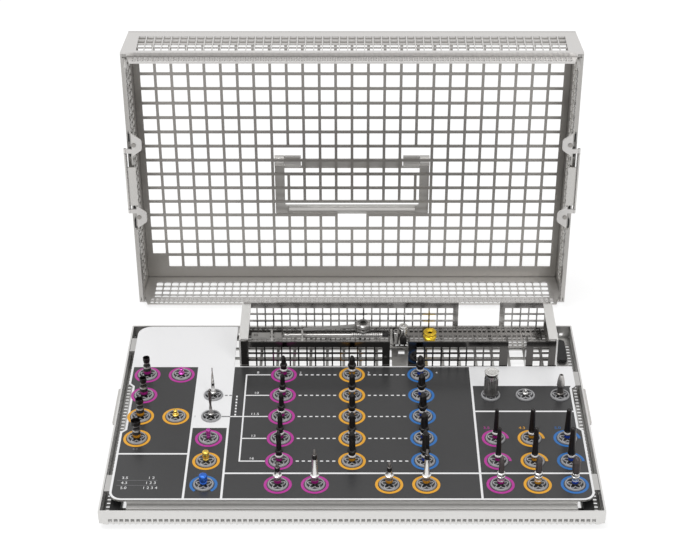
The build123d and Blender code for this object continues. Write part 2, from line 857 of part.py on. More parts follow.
def implant_drivers(short_column, tall_column):
    """A short and a tall driver, each with a flange, a dark collar and a slim tip."""
    foot = [(2.2, seat_rise), (2.2, 4.4), (1.8, 4.8), (1.8, 6.6), (2.55, 6.8), (2.55, 7.4)]
    top = short_driver_height
    short = [(1.6, 7.6), (1.45, 10.1), (1.55, 10.1), (1.55, 12.9), (0.9, 12.9), (0.9, top - 0.4),
             (0.6, top), (0, top)]
    top = tall_driver_height
    tall = [(1.7, 7.6), (1.35, 18.7), (1.45, 18.7), (1.45, 21.8), (0.8, 21.8), (0.8, top - 0.4), (0.5, top),
            (0, top)]
    return [instrument(foot + short, (short_column, 5)), instrument(foot + tall, (tall_column, 5))]


def knurled_screwdriver():
    top = knurled_height
    outer = knurled_diameter / 2
    profile = [(2.0, seat_rise), (2.0, 1.5), (outer - 0.3, 1.5), (outer, 1.8), (outer, 13.3),
               (outer - 0.1, 13.3),
               (outer - 0.3, 16.0), (outer - 0.9, 16.0), (outer - 0.9, 16.9), (outer + 0.15, 16.9),
               (outer + 0.15, top - 0.3), (outer - 0.15, top), (0, top)]
    return [instrument(profile, (4, 1))]


def machine_screwdriver():
    top = machine_driver_height
    profile = [(2.0, seat_rise), (2.0, 2.4), (1.5, 2.7), (1.5, 3.4), (0.9, 3.6), (0.9, top - 0.3),
               (0.6, top), (0, top)]
    return [instrument(profile, (5, 1))]


def drill_extension():
    """A waisted sleeve, open at its tip."""
    top = extension_height
    bore = extension_bore / 2
    profile = [(2.6, seat_rise), (2.6, 2.4), (1.9, 2.8), (1.9, 7.4), (2.45, 8.2), (2.45, 9.0), (2.2, 11.5),
               (1.25, top), (bore, top), (bore, top - 3.0), (0, top - 3.0)]
    return [instrument(profile, (6, 1))]


def dense_bone_drills():
    """Six fluted drills in two rows of three."""
    drills = []
    for row, (top, diameters) in enumerate(zip(dense_heights, dense_diameters)):
        for column, diameter in enumerate(diameters):
            outer = diameter / 2
            profile = [(2.2, seat_rise), (2.2, 3.6), (1.8, 3.9), (1.8, 5.6), (outer, 6.1),
                       (outer * 0.95, top * 0.6),
                       (outer * 0.6, top - 1.2), (0, top)]
            drills.append(instrument(profile, (4 + column, 3 + row)))
    return drills


def screw_taps():
    taps = []
    for number, diameter in enumerate(tap_diameters):
        outer = diameter / 2
        collar = tap_collar / 2
        top = tap_height
        profile = [(2.1, seat_rise), (2.1, 3.6), (1.6, 4.0), (1.6, 5.3), (collar, 5.3), (collar, 9.3),
                   (1.5, 9.5),
                   (outer, 10.0), (outer * 0.95, top - 5.0), (outer * 0.55, top - 0.8), (0, top)]
        taps.append(instrument(profile, (4 + number, 5)))
    return taps


def all_places():
    """Every holder's place on the grid: columns from the middle, rows from the back."""
    places = [(column, row) for column in (-2, 0, 2) for row in range(5)]
    places += [(column, 5) for column in (-2, -1, 1, 2)]
    places += [(-6, row) for row in range(4)]
    places += [(-5, 0), (-5, 2)]
    places += [(-4, row) for row in range(1, 6)]
    places += [(column, row) for column in (4, 5, 6) for row in (1, 3, 4, 5)]
    return places


# Lid


def mesh_place(column, row):
    """The centre of a hole in the panel, across from its middle and up from its foot."""
    u = (column - (mesh_columns - 1) / 2) * mesh_pitch
    v = lid_height / 2 + (row - (mesh_rows - 1) / 2) * mesh_pitch
    return u, v


def grip_opening():
    """A wide opening behind the grip, with a notch below it for a fingertip."""
    left, low = (c - mesh_hole / 2 for c in mesh_place(grip_columns[0], grip_row))
    right, high = (c + mesh_hole / 2 for c in mesh_place(grip_columns[1], grip_row))
    notch_left, notch_low = (c - mesh_hole / 2 for c in mesh_place(finger_columns[0], grip_row - 1))
    notch_right = mesh_place(finger_columns[1], grip_row)[0] + mesh_hole / 2
    return [(left, low), (notch_left, low), (notch_left, notch_low), (notch_right, notch_low),
            (notch_right, low), (right, low), (right, high), (left, high)]


def lid_panel():
    """The mesh panel, with openings at the hinges and the grip, and one closed corner."""
    merged = {(column, row) for column in hinge_opening_columns for row in hinge_rows}
    skipped = {(column + 1, row) for column, row in merged} | {(0, 0)}
    skipped |= {(column, grip_row) for column in range(grip_columns[0], grip_columns[1] + 1)}
    skipped |= {(column, grip_row - 1) for column in finger_columns}
    holes = [grip_opening()]
    for column in range(mesh_columns):
        for row in range(mesh_rows):
            if (column, row) in skipped:
                continue
            u, v = mesh_place(column, row)
            if (column, row) in merged:
                holes.append(square_hole(u + mesh_pitch / 2, v, mesh_pitch + mesh_hole, mesh_hole))
            else:
                holes.append(square_hole(u, v, mesh_hole))
    sheet = flat_sheet(rectangle(-panel_half, 0, panel_half, lid_height), holes, lid_sheet)
    return [facing_front(sheet, panel_inner_y)]


def lid_long_wall(flip):
    """A wall along the lid's width with its inward step and its perforated ledge, drawn at the bottom."""
    middle_y = (lid_near_y + panel_inner_y) / 2
    wall_holes = []
    for u in row_of(-(lid_wall_columns - 1) / 2 * wall_hole_pitch, lid_wall_columns, wall_hole_pitch):
        for v in row_of(lid_near_y + lid_wall_first_row, lid_wall_rows, wall_hole_pitch):
            wall_holes.append(square_hole(u, v, lid_wall_hole))
    flared = [(-lid_half, lid_near_y), (lid_half, lid_near_y), (panel_half, panel_inner_y),
              (-panel_half, panel_inner_y)]
    wall = flat_sheet(flared, wall_holes, lid_sheet)
    step_low = (-ledge_inner, lid_near_y, lid_sheet)
    step = block(step_low, (ledge_inner, lid_near_y + lid_sheet, ledge_inset + lid_sheet))
    ledge_holes = []
    for u in spread(2 * (ledge_inner - ledge_miter) - ledge_hole, base_hole_pitch):
        for v in row_of(ledge_tip_y + ledge_first_row, ledge_hole_rows, base_hole_pitch):
            ledge_holes.append(square_hole(u, v, ledge_hole))
    tip_half = ledge_inner - ledge_miter
    outline = [(-tip_half, ledge_tip_y), (tip_half, ledge_tip_y), (ledge_inner, lid_near_y),
               (-ledge_inner, lid_near_y)]
    ledge = Pos(0, 0, ledge_inset) * flat_sheet(outline, ledge_holes, lid_sheet)
    bent = wall + step + ledge
    if flip:
        bent = Pos(0, 0, lid_height) * mirror(bent, about=Plane.XY)
    return [bent]


def lid_side_wall(side):
    """A flared side wall with its step and its ledge, cut away where the latch turns."""
    low = lid_sheet
    high = lid_height - lid_sheet
    wall_holes = []
    for v in spread(high - low - 2 * lid_wall_end, wall_hole_pitch):
        for u in row_of(lid_near_y + lid_wall_first_row, lid_wall_rows, wall_hole_pitch):
            wall_holes.append(square_hole(u, lid_height / 2 + v, lid_wall_hole))
    upright = flat_sheet(rectangle(lid_near_y, low, panel_outer_y, high), wall_holes, lid_sheet)
    slope = math.degrees(math.atan2(lid_flare, panel_inner_y - lid_near_y))
    leaning = Pos(lid_half, lid_near_y, 0) * Rot(0, 0, slope) * Pos(-lid_half, -lid_near_y, 0)
    wall = leaning * facing_side(upright, lid_half - lid_sheet)
    bent = wall & block((0, lid_near_y, low), (lid_half, panel_inner_y, high))
    step_low = ledge_inset + lid_sheet
    step_high = lid_height - step_low
    bent += block((ledge_inner, lid_near_y, step_low), (lid_half - lid_sheet, lid_near_y + lid_sheet,
                                                        step_high))
    reach = bracket_spacing / 2 + bracket_half + notch_side_room
    notch_low = latch_height - reach
    notch_high = latch_height + reach
    notch_y = ledge_tip_y + notch_depth
    room_low = latch_low_z + latch_arm_foot - latch_room
    room_high = latch_high_z - latch_arm_head + latch_room
    room_y = latch_pivot_y + math.sqrt(latch_arm ** 2 - (latch_pivot_x - ledge_outer) ** 2) + latch_room
    outline = [
        (lid_near_y, step_low), (lid_near_y, step_high), (ledge_tip_y, step_high - ledge_miter),
        (ledge_tip_y, notch_high), (notch_y, notch_high), (notch_y, room_high), (room_y, room_high),
        (room_y, room_low), (notch_y, room_low), (notch_y, notch_low), (ledge_tip_y, notch_low),
        (ledge_tip_y, step_low + ledge_miter),
    ]
    holes = []
    for v in spread(step_high - step_low - 2 * ledge_miter - ledge_hole, base_hole_pitch):
        for u in row_of(ledge_tip_y + ledge_first_row, ledge_hole_rows, base_hole_pitch):
            height = lid_height / 2 + v
            beside_notch = notch_low - ledge_hole < height < notch_high + ledge_hole
            near_notch = u < notch_y + ledge_hole and beside_notch
            near_room = room_low - ledge_hole < height < room_high + ledge_hole
            if not near_notch and not near_room:
                holes.append(square_hole(u, height, ledge_hole))
    bent += facing_side(flat_sheet(outline, holes, lid_sheet), ledge_inner)
    return [bent if side > 0 else mirror(bent, about=Plane.YZ)]


# Latches


def on_both_sides(solids):
    return solids + [mirror(s, about=Plane.YZ) for s in solids]


def bracket_heights():
    return [latch_height - bracket_spacing / 2, latch_height + bracket_spacing / 2]


def latch_brackets():
    """Round-tipped plates on the ledge, each with a tab against it and an ear that carries the pin."""
    brackets = []
    front = ledge_tip_y + bracket_recess
    back = front + bracket_sheet
    tip = -bracket_reach
    points = [(0, -bracket_half), (0, bracket_half), (tip, bracket_tip), (tip, -bracket_tip)]
    radii = [0, 0, bracket_tip_radius, bracket_tip_radius]
    for z in bracket_heights():
        toward = 1 if z < latch_height else -1
        plate = Pos(ledge_inner, back, z) * Rot(90, 0, 0) * rounded_plate(points, radii, bracket_sheet)
        tab_low = (ledge_inner - bracket_sheet, back, z - bracket_half * 0.8)
        tab = block(tab_low, (ledge_inner, back + bracket_tab, z + bracket_half * 0.8))
        ear_z = latch_height - toward * (latch_length / 2 + ear_gap)
        arm_z = sorted((ear_z, ear_z - toward * ear_length))
        arm = block((ledge_inner, front, arm_z[0]), (latch_pivot_x, back, arm_z[1]))
        ear = Pos(latch_pivot_x, latch_pivot_y, arm_z[0]) * extrude(Circle(latch_barrel / 2),
                                                                    amount=ear_length)
        bore = Pos(latch_pivot_x, latch_pivot_y, arm_z[0]) * extrude(
            Circle(latch_pin_diameter / 2), amount=ear_length)
        brackets.append(plate + tab + arm + ear - bore)
    return on_both_sides(brackets)


def latch_rivets():
    rivets = []
    face_y = ledge_tip_y + bracket_recess
    for z in bracket_heights():
        head = extrude(Circle(rivet_diameter / 2), amount=rivet_height)
        rivets.append(Pos(ledge_inner - rivet_reach, face_y, z) * Rot(90, 0, 0) * head)
    return on_both_sides(rivets)


def latch_pads():
    """Black bumpers on the step beside each bracket."""
    pads = []
    x = ledge_outer + 0.2
    for z in bracket_heights():
        for low, high in pad_sizes:
            pads.append(block((x, lid_near_y - pad_height, z + low), (x + pad_width, lid_near_y, z + high)))
    return on_both_sides(pads)


def latch_pins():
    length = latch_length + 2 * ear_gap + 2 * ear_length
    pin = extrude(Circle(latch_pin_diameter / 2), amount=length)
    return on_both_sides([Pos(latch_pivot_x, latch_pivot_y, latch_height - length / 2) * pin])


def latch(side):
    """A folded latch: a rolled barrel on the pin, an arm inwards, and a flange that ends in the hook."""
    low = latch_low_z
    high = latch_high_z
    half = latch_sheet / 2
    barrel = Pos(latch_pivot_x, latch_pivot_y, low) * extrude(Circle(latch_barrel / 2), amount=latch_length)
    arm_low = (latch_pivot_x - latch_arm, latch_pivot_y - half, low + latch_arm_foot)
    arm = block(arm_low, (latch_pivot_x, latch_pivot_y + half, high - latch_arm_head))
    flange_low = (latch_pivot_x - half, latch_pivot_y, low)
    flange = block(flange_low, (latch_pivot_x + half, latch_pivot_y + latch_flange, high))
    hook_low = (latch_pivot_x + half, latch_pivot_y + latch_flange - latch_sheet, low)
    hook = block(hook_low, (latch_pivot_x + half + latch_hook, latch_pivot_y + latch_flange, high))
    bore_radius = latch_pin_diameter / 2 + pin_clearance
    bore = Pos(latch_pivot_x, latch_pivot_y, low) * extrude(Circle(bore_radius), amount=latch_length)
    piece = barrel + arm + flange + hook - bore
    return [piece if side > 0 else mirror(piece, about=Plane.YZ)]


# Handle


def along_x(radius, low, high):
    return Pos(low, hinge_y, hinge_height) * Rot(0, 90, 0) * extrude(Circle(radius), amount=high - low)


def hinge_knuckles():
    """Barrels rolled from the panel's tabs, just inside the handle's own barrels."""
    high = handle_width / 2 - handle_strap - knuckle_gap
    low = high - knuckle_length
    knuckle = along_x(barrel_diameter / 2, low, high)
    top = hinge_height + barrel_diameter / 2
    tab = block((low, panel_outer_y, hinge_height), (high, panel_outer_y + lid_sheet,
                                                     top + mesh_pitch - mesh_hole))
    piece = knuckle + tab - along_x(handle_pin_diameter / 2, low, high)
    return on_both_sides([piece])


def handle():
    """The bail: two straps with barrels, joined by a bar between the knuckles and a rolled grip below."""
    outer = handle_width / 2
    inner = outer - handle_strap
    half = handle_sheet / 2
    low = hinge_height - handle_drop
    points = [(-outer, hinge_height), (-outer, low), (outer, low), (outer, hinge_height),
              (inner, hinge_height), (inner, low + handle_strap),
              (-inner, low + handle_strap), (-inner, hinge_height)]
    radii = [0, handle_outer_radius, handle_outer_radius, 0, 0, handle_inner_radius, handle_inner_radius, 0]
    plate = Pos(0, hinge_y + half, 0) * Rot(90, 0, 0) * rounded_plate(points, radii, handle_sheet)
    rail_top = hinge_height - barrel_diameter / 2 - handle_rail_gap
    rail_low = rail_top - handle_rail_height
    plate += block((-inner, hinge_y - half, rail_low), (inner, hinge_y + half, rail_top))
    bar_half = handle_bar_length / 2
    plate += block((-bar_half, hinge_y - half, rail_low),
                   (bar_half, hinge_y + half, rail_low + handle_bar_height))
    for side in (-1, 1):
        ends = sorted((side * outer, side * inner))
        plate += along_x(barrel_diameter / 2, *ends)
        plate -= along_x(handle_pin_diameter / 2 + pin_clearance, *ends)
    grip = Pos(-grip_bar_length / 2, hinge_y, low + handle_strap / 2) * Rot(0, 90, 0) * extrude(
        Circle(grip_bar_diameter / 2), amount=grip_bar_length)
    return [plate + grip]


def handle_pins():
    high = handle_width / 2
    low = high - handle_strap - knuckle_gap - knuckle_length
    return on_both_sides([along_x(handle_pin_diameter / 2, low, high)])


def nodes():
    """Each sub-part's name with its solids."""
    found = {
        "base_floor": base_floor(),
        "base_front_wall": base_front_wall(),
        "base_rear_wall": base_rear_wall(),
        "base_left_wall": base_left_wall(),
        "base_right_wall": base_right_wall(),
        "latch_receiver_left": latch_receiver(-1),
        "latch_receiver_right": latch_receiver(1),
        "base_feet": base_feet(),
        "instrument_plate": instrument_plate(),
        "plate_legs": plate_legs(),
        "instrument_holders": instrument_holders(),
        "compartment_front_wall": compartment_front_wall(),
        "compartment_rear_wall": compartment_rear_wall(),
        "compartment_shelf": compartment_shelf(),
        "compartment_left_wall": compartment_side_wall(-1),
        "compartment_right_wall": compartment_side_wall(1),
        "wire_clips": wire_clips(),
        "wrench_body": wrench_body(),
        "wrench_head": wrench_head(),
        "wrench_spring_bar": wrench_spring_bar(),
        "flat_spanner": flat_spanner(),
        "driver_adapter": driver_adapter(),
        "adapter_bit": adapter_bit(),
        "gold_guide": gold_guide(),
        "guide_narrow": guide(0),
        "guide_regular": guide(2),
        "precision_drill": precision_drill(),
        "twist_drill": twist_drill(),
        "indicator_narrow": indicator(0),
        "indicator_regular": indicator(1),
        "indicator_wide": indicator(2),
        "tapered_drills_narrow": tapered_drills(0, -2),
        "tapered_drills_regular": tapered_drills(1, 0),
        "tapered_drills_wide": tapered_drills(2, 2),
        "implant_drivers_narrow": implant_drivers(-2, -1),
        "implant_drivers_regular": implant_drivers(1, 2),
        "knurled_screwdriver": knurled_screwdriver(),
        "machine_screwdriver": machine_screwdriver(),
        "drill_extension": drill_extension(),
        "dense_bone_drills": dense_bone_drills(),
        "screw_taps": screw_taps(),
        "lid_panel": lid_panel(),
        "lid_top_wall": lid_long_wall(True),
        "lid_bottom_wall": lid_long_wall(False),
        "lid_left_wall": lid_side_wall(-1),
        "lid_right_wall": lid_side_wall(1),
        "latch_brackets": latch_brackets(),
        "latch_rivets": latch_rivets(),
        "latch_pads": latch_pads(),
        "latch_pins": latch_pins(),
        "latch_left": latch(-1),
        "latch_right": latch(1),
        "hinge_knuckles": hinge_knuckles(),
        "handle": handle(),
        "handle_pins": handle_pins(),
    }
    for number in range(len(mill_diameters)):
        found[f"bone_mill_{number + 1}"] = mill(number)
    return found


os.makedirs("parts", exist_ok=True)
for name, solids in nodes().items():
    single = [piece for solid in solids for piece in solid.solids()]
    shape = single[0] if len(single) == 1 else Compound(children=single)
    export_step(shape, f"parts/{name}.step")
    box = shape.bounding_box()
    print(name, len(single), [round(v, 2) for v in (*box.min, *box.max)])
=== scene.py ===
import math

import bpy
from mathutils import Matrix, Vector


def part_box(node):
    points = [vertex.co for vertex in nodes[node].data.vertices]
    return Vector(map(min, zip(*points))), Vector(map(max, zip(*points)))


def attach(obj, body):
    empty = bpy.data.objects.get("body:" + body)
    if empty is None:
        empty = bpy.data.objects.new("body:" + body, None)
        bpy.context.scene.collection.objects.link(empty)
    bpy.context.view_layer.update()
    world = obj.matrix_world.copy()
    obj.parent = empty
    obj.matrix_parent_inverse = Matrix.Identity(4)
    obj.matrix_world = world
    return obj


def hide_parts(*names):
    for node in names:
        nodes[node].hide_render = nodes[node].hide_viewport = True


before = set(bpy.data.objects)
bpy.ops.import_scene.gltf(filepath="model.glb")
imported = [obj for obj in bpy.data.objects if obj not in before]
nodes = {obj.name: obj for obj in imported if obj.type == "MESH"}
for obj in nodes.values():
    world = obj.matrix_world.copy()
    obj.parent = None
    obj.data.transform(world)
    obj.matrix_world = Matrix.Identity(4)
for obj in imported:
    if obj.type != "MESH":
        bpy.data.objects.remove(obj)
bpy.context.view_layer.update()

MM = 0.001


def edges_of(node):
    """A node's lowest and highest corners in millimetres."""
    low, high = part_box(node)
    return [v / MM for v in low], [v / MM for v in high]


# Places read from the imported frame, in millimetres
PLATE_LOW, PLATE_HIGH = edges_of("instrument_plate")
RIM = PLATE_HIGH[2]
PLATE_BOTTOM = PLATE_LOW[2]
MILL_LOW, MILL_HIGH = edges_of("bone_mill_1")
PITCH = 21.0
ROW_0 = (MILL_LOW[1] + MILL_HIGH[1]) / 2
FRONT_WALL_Y = edges_of("compartment_front_wall")[0][1]

# Half the plate's width between its tabs, the print's thickness, and a finish's relief in metres
PLATE_HALF = 136.5
PRINT = 0.05
RELIEF = 0.000005


def grid(column, row):
    return column * PITCH, ROW_0 - row * PITCH


def linear(red, green, blue):
    """An 8-bit display colour as scene-linear values."""
    made = []
    for value in (red, green, blue):
        c = value / 255
        made.append(c / 12.92 if c <= 0.04045 else ((c + 0.055) / 1.055) ** 2.4)
    return tuple(made)


# Materials


def finish_of(name, colour, metallic=0.0, roughness=0.4, grain=(900, 900, 900), vary=0.03, rough_vary=0.03,
              bump=0.01, nook=0.0):
    """A finish with noise in colour, roughness and relief; nook: reach in mm of painted corner shade."""
    material = bpy.data.materials.new(name)
    material.use_nodes = True
    tree = material.node_tree
    new = tree.nodes.new
    link = tree.links.new
    shader = tree.nodes["Principled BSDF"]
    shader.inputs["Metallic"].default_value = metallic
    coords = new("ShaderNodeTexCoord")
    mapping = new("ShaderNodeMapping")
    mapping.inputs["Scale"].default_value = grain
    link(coords.outputs["Object"], mapping.inputs["Vector"])
    noise = new("ShaderNodeTexNoise")
    noise.inputs["Scale"].default_value = 1.0
    noise.inputs["Detail"].default_value = 3.0
    link(mapping.outputs["Vector"], noise.inputs["Vector"])
    mix = new("ShaderNodeMix")
    mix.data_type = "RGBA"
    mix.inputs["A"].default_value = (*[c * (1 - vary) for c in colour], 1)
    mix.inputs["B"].default_value = (*[min(1, c * (1 + vary)) for c in colour], 1)
    link(noise.outputs["Fac"], mix.inputs["Factor"])
    tone = mix.outputs["Result"]
    # Painted shade in corners, darkening the colour
    if nook:
        tone = painted_corner_shade(tree, tone, nook)
    link(tone, shader.inputs["Base Color"])
    rough = new("ShaderNodeMapRange")
    rough.inputs["From Min"].default_value = 0.25
    rough.inputs["From Max"].default_value = 0.75
    rough.inputs["To Min"].default_value = max(0.02, roughness - rough_vary)
    rough.inputs["To Max"].default_value = roughness + rough_vary
    link(noise.outputs["Fac"], rough.inputs["Value"])
    link(rough.outputs["Result"], shader.inputs["Roughness"])
    relief = new("ShaderNodeBump")
    relief.inputs["Strength"].default_value = bump
    relief.inputs["Distance"].default_value = RELIEF
    link(noise.outputs["Fac"], relief.inputs["Height"])
    link(relief.outputs["Normal"], shader.inputs["Normal"])
    return material


def painted_corner_shade(tree, tone, reach):
    """Painted shade: a colour darkened where other faces close in on a point, within a reach in mm."""
    new = tree.nodes.new
    link = tree.links.new
    open_sky = new("ShaderNodeAmbientOcclusion")
    open_sky.inputs["Distance"].default_value = reach * MM
    open_sky.samples = 8
    shade = new("ShaderNodeMapRange")
    shade.inputs["From Min"].default_value = 0.25
    shade.inputs["From Max"].default_value = 0.95
    shade.inputs["To Min"].default_value = 0.3
    shade.inputs["To Max"].default_value = 1.0
    link(open_sky.outputs["AO"], shade.inputs["Value"])
    mix = new("ShaderNodeMix")
    mix.data_type = "RGBA"
    mix.blend_type = "MULTIPLY"
    mix.inputs["Factor"].default_value = 1.0
    link(tone, mix.inputs["A"])
    link(shade.outputs["Result"], mix.inputs["B"])
    return mix.outputs["Result"]


def top_print(material, colour, roughness, half):
    """Cover a finish's upward faces, out to a distance from the middle, with a coat of a second colour."""
    tree = material.node_tree
    new = tree.nodes.new
    link = tree.links.new
    metal = tree.nodes["Principled BSDF"]
    output = tree.nodes["Material Output"]
    ink = new("ShaderNodeBsdfPrincipled")
    ink.inputs["Base Color"].default_value = (*colour, 1)
    ink.inputs["Roughness"].default_value = roughness
    geometry = new("ShaderNodeNewGeometry")
    split = new("ShaderNodeSeparateXYZ")
    link(geometry.outputs["True Normal"], split.inputs["Vector"])
    above = new("ShaderNodeMath")
    above.operation = "GREATER_THAN"
    above.inputs[1].default_value = 0.9
    link(split.outputs["Z"], above.inputs[0])
    coords = new("ShaderNodeTexCoord")
    place = new("ShaderNodeSeparateXYZ")
    link(coords.outputs["Object"], place.inputs["Vector"])
    inside = new("ShaderNodeMath")
    inside.operation = "COMPARE"
    inside.inputs[1].default_value = 0.0
    inside.inputs[2].default_value = half * MM
    link(place.outputs["X"], inside.inputs[0])
    both = new("ShaderNodeMath")
    both.operation = "MULTIPLY"
    link(above.outputs["Value"], both.inputs[0])
    link(inside.outputs["Value"], both.inputs[1])
    mix = new("ShaderNodeMixShader")
    link(both.outputs["Value"], mix.inputs["Fac"])
    link(metal.outputs["BSDF"], mix.inputs[1])
    link(ink.outputs["BSDF"], mix.inputs[2])
    link(mix.outputs["Shader"], output.inputs["Surface"])
    return material


ALONG_X = (60, 1500, 1500)
ALONG_Z = (1500, 1500, 60)
MAGENTA = linear(178, 48, 148)
ORANGE = linear(226, 163, 42)
BLUE = linear(40, 108, 178)

tray_steel = finish_of("tray_steel", linear(214, 213, 211), 1.0, 0.36, ALONG_X, nook=2.0)
# The base floor is the tray steel painted darker: painted shade inside the tray
shaded_floor_steel = finish_of("shaded_floor_steel", linear(176, 175, 173), 1.0, 0.34, ALONG_X, nook=5.0)
wall_steel = finish_of("compartment_steel", linear(172, 170, 168), 1.0, 0.14, ALONG_X, bump=0.002)
# The compartment's front wall is its steel painted darker: a painted dark reflection of the plate
painted_reflection_front_steel = finish_of("compartment_front_painted_reflection", linear(96, 94, 92), 1.0, 0.12, ALONG_X, bump=0.002)
# The lid panel and rivets are the lid steel painted darker: painted shade on the mesh
shaded_mesh_steel = finish_of("lid_mesh_painted_shade", linear(160, 157, 153), 1.0, 0.36, ALONG_X, nook=1.0)
lid_steel = finish_of("lid_wall_steel", linear(208, 206, 204), 1.0, 0.36, ALONG_X, nook=1.5)
leg_steel = finish_of("leg_steel", linear(226, 225, 223), 0.8, 0.4, ALONG_X, nook=6.0)
# The lid's side walls are the lid steel painted darker: painted shade on the sides turned from the light
lid_side_shaded_steel = finish_of("lid_side_shaded_steel", linear(178, 176, 173), 1.0, 0.34, ALONG_Z, nook=1.5)
polished = finish_of("polished_steel", linear(196, 194, 191), 1.0, 0.24, ALONG_Z, nook=2.0)
flange_steel = finish_of("flange_steel", linear(226, 225, 223), 0.8, 0.4, ALONG_X, nook=2.0)
handle_steel = finish_of("handle_steel", linear(186, 184, 181), 0.75, 0.42, ALONG_X)
bare_plate = finish_of("plate_steel", linear(190, 189, 187), 1.0, 0.3, ALONG_X, nook=2.0)
plate_steel = top_print(bare_plate, linear(233, 233, 234), 0.35, PLATE_HALF)
dark_print = finish_of("dark_print", linear(50, 50, 51), 0.0, 0.3, vary=0.02, rough_vary=0.02, bump=0.002)
white_print = finish_of("white_print", linear(232, 232, 233), 0.0, 0.4, vary=0.03)
grey_print = finish_of("grey_print", linear(120, 120, 122), 0.0, 0.4, vary=0.03)
magenta_print = finish_of("magenta_print", MAGENTA, 0.0, 0.4, vary=0.05)
orange_print = finish_of("orange_print", ORANGE, 0.0, 0.4, vary=0.05)
blue_print = finish_of("blue_print", BLUE, 0.0, 0.4, vary=0.05)
silicone = finish_of("holder_silicone", linear(150, 150, 152), 0.0, 0.5, vary=0.06)
silicone_pale = finish_of("holder_pale", linear(176, 176, 178), 0.0, 0.45, vary=0.05)
painted_shade_silicone = finish_of("holder_painted_shade", linear(22, 22, 23), 0.0, 0.6, vary=0.1)
rubber = finish_of("black_rubber", linear(17, 17, 18), 0.0, 0.55, vary=0.2, bump=0.1)
tool_steel = finish_of("tool_steel", linear(172, 170, 168), 1.0, 0.32, ALONG_Z, nook=2.0)
bright_steel = finish_of("bright_steel", linear(222, 221, 219), 1.0, 0.2, ALONG_Z)
grey_steel = finish_of("grey_steel", linear(110, 107, 105), 1.0, 0.3, ALONG_Z)
knurl_steel = finish_of("knurl_steel", linear(158, 156, 154), 1.0, 0.3, ALONG_Z)
black_coat = finish_of("black_coat", linear(22, 19, 19), 0.35, 0.34, (1500, 1500, 400), vary=0.25)
tap_coat = finish_of("tap_coat", linear(72, 66, 66), 0.6, 0.36, (1500, 1500, 400), vary=0.15)
white_ring = finish_of("white_ring", linear(215, 213, 212), 0.2, 0.3, vary=0.05)
magenta_metal = finish_of("magenta_anodised", linear(196, 84, 176), 0.85, 0.25, vary=0.06)
gold_metal = finish_of("gold_anodised", linear(228, 192, 92), 0.95, 0.24, vary=0.06)
blue_metal = finish_of("blue_anodised", linear(58, 110, 205), 0.85, 0.25, vary=0.06)
magenta_band = finish_of("magenta_band", linear(150, 8, 118), 0.2, 0.3, vary=0.05)
orange_band = finish_of("orange_band", linear(186, 128, 14), 0.2, 0.3, vary=0.05)
blue_band = finish_of("blue_band", linear(18, 58, 158), 0.2, 0.3, vary=0.05)
yellow_metal = finish_of("gold_flange", linear(222, 186, 56), 0.9, 0.2, vary=0.06)

CAD_FINISHES = {
    "base_floor": shaded_floor_steel, "base_front_wall": tray_steel, "base_rear_wall": tray_steel,
    "base_left_wall": tray_steel, "base_right_wall": tray_steel, "latch_receiver_left": polished,
    "latch_receiver_right": polished, "base_feet": rubber, "instrument_plate": plate_steel,
    "plate_legs": leg_steel, "compartment_front_wall": painted_reflection_front_steel, "compartment_rear_wall": wall_steel,
    "compartment_left_wall": flange_steel, "compartment_right_wall": flange_steel, "wire_clips": polished,
    "compartment_shelf": wall_steel,
    "lid_panel": shaded_mesh_steel, "lid_top_wall": lid_steel, "lid_bottom_wall": lid_steel,
    "lid_left_wall": lid_side_shaded_steel, "lid_right_wall": lid_side_shaded_steel, "latch_brackets": lid_steel,
    "latch_rivets": shaded_mesh_steel, "latch_pads": rubber, "latch_pins": grey_steel, "latch_left": polished,
    "latch_right": polished, "hinge_knuckles": handle_steel, "handle": handle_steel,
    "handle_pins": grey_steel,
    "wrench_spring_bar": tool_steel, "flat_spanner": tool_steel,
}
for name, node in nodes.items():
    for used in node.material_slots:
        used.material = CAD_FINISHES.get(name, tool_steel)

BEVELS = {
    "base_floor": 0.3, "compartment_shelf": 0.2, "base_front_wall": 0.12,
    "base_rear_wall": 0.12, "base_left_wall": 0.12, "base_right_wall": 0.12,
    "latch_receiver_left": 0.3, "latch_receiver_right": 0.3, "base_feet": 0.9, "plate_legs": 0.2,
    "compartment_front_wall": 0.3, "compartment_rear_wall": 0.3, "compartment_left_wall": 0.3,
    "compartment_right_wall": 0.3, "wire_clips": 0.25, "lid_panel": 0.42, "lid_top_wall": 0.15,
    "lid_bottom_wall": 0.15, "lid_left_wall": 0.15, "lid_right_wall": 0.15, "latch_brackets": 0.2,
    "latch_rivets": 0.2, "latch_pads": 0.4, "latch_left": 0.2, "latch_right": 0.2,
    "hinge_knuckles": 0.3, "handle": 0.4, "flat_spanner": 0.3, "wrench_spring_bar": 0.25,
}
for name, width in BEVELS.items():
    bevel = nodes[name].modifiers.new("softened_edges", "BEVEL")
    bevel.width = width * MM
    bevel.segments = 2
    bevel.limit_method = "ANGLE"
    bevel.angle_limit = math.radians(40)
    bevel.harden_normals = False


# Mesh building


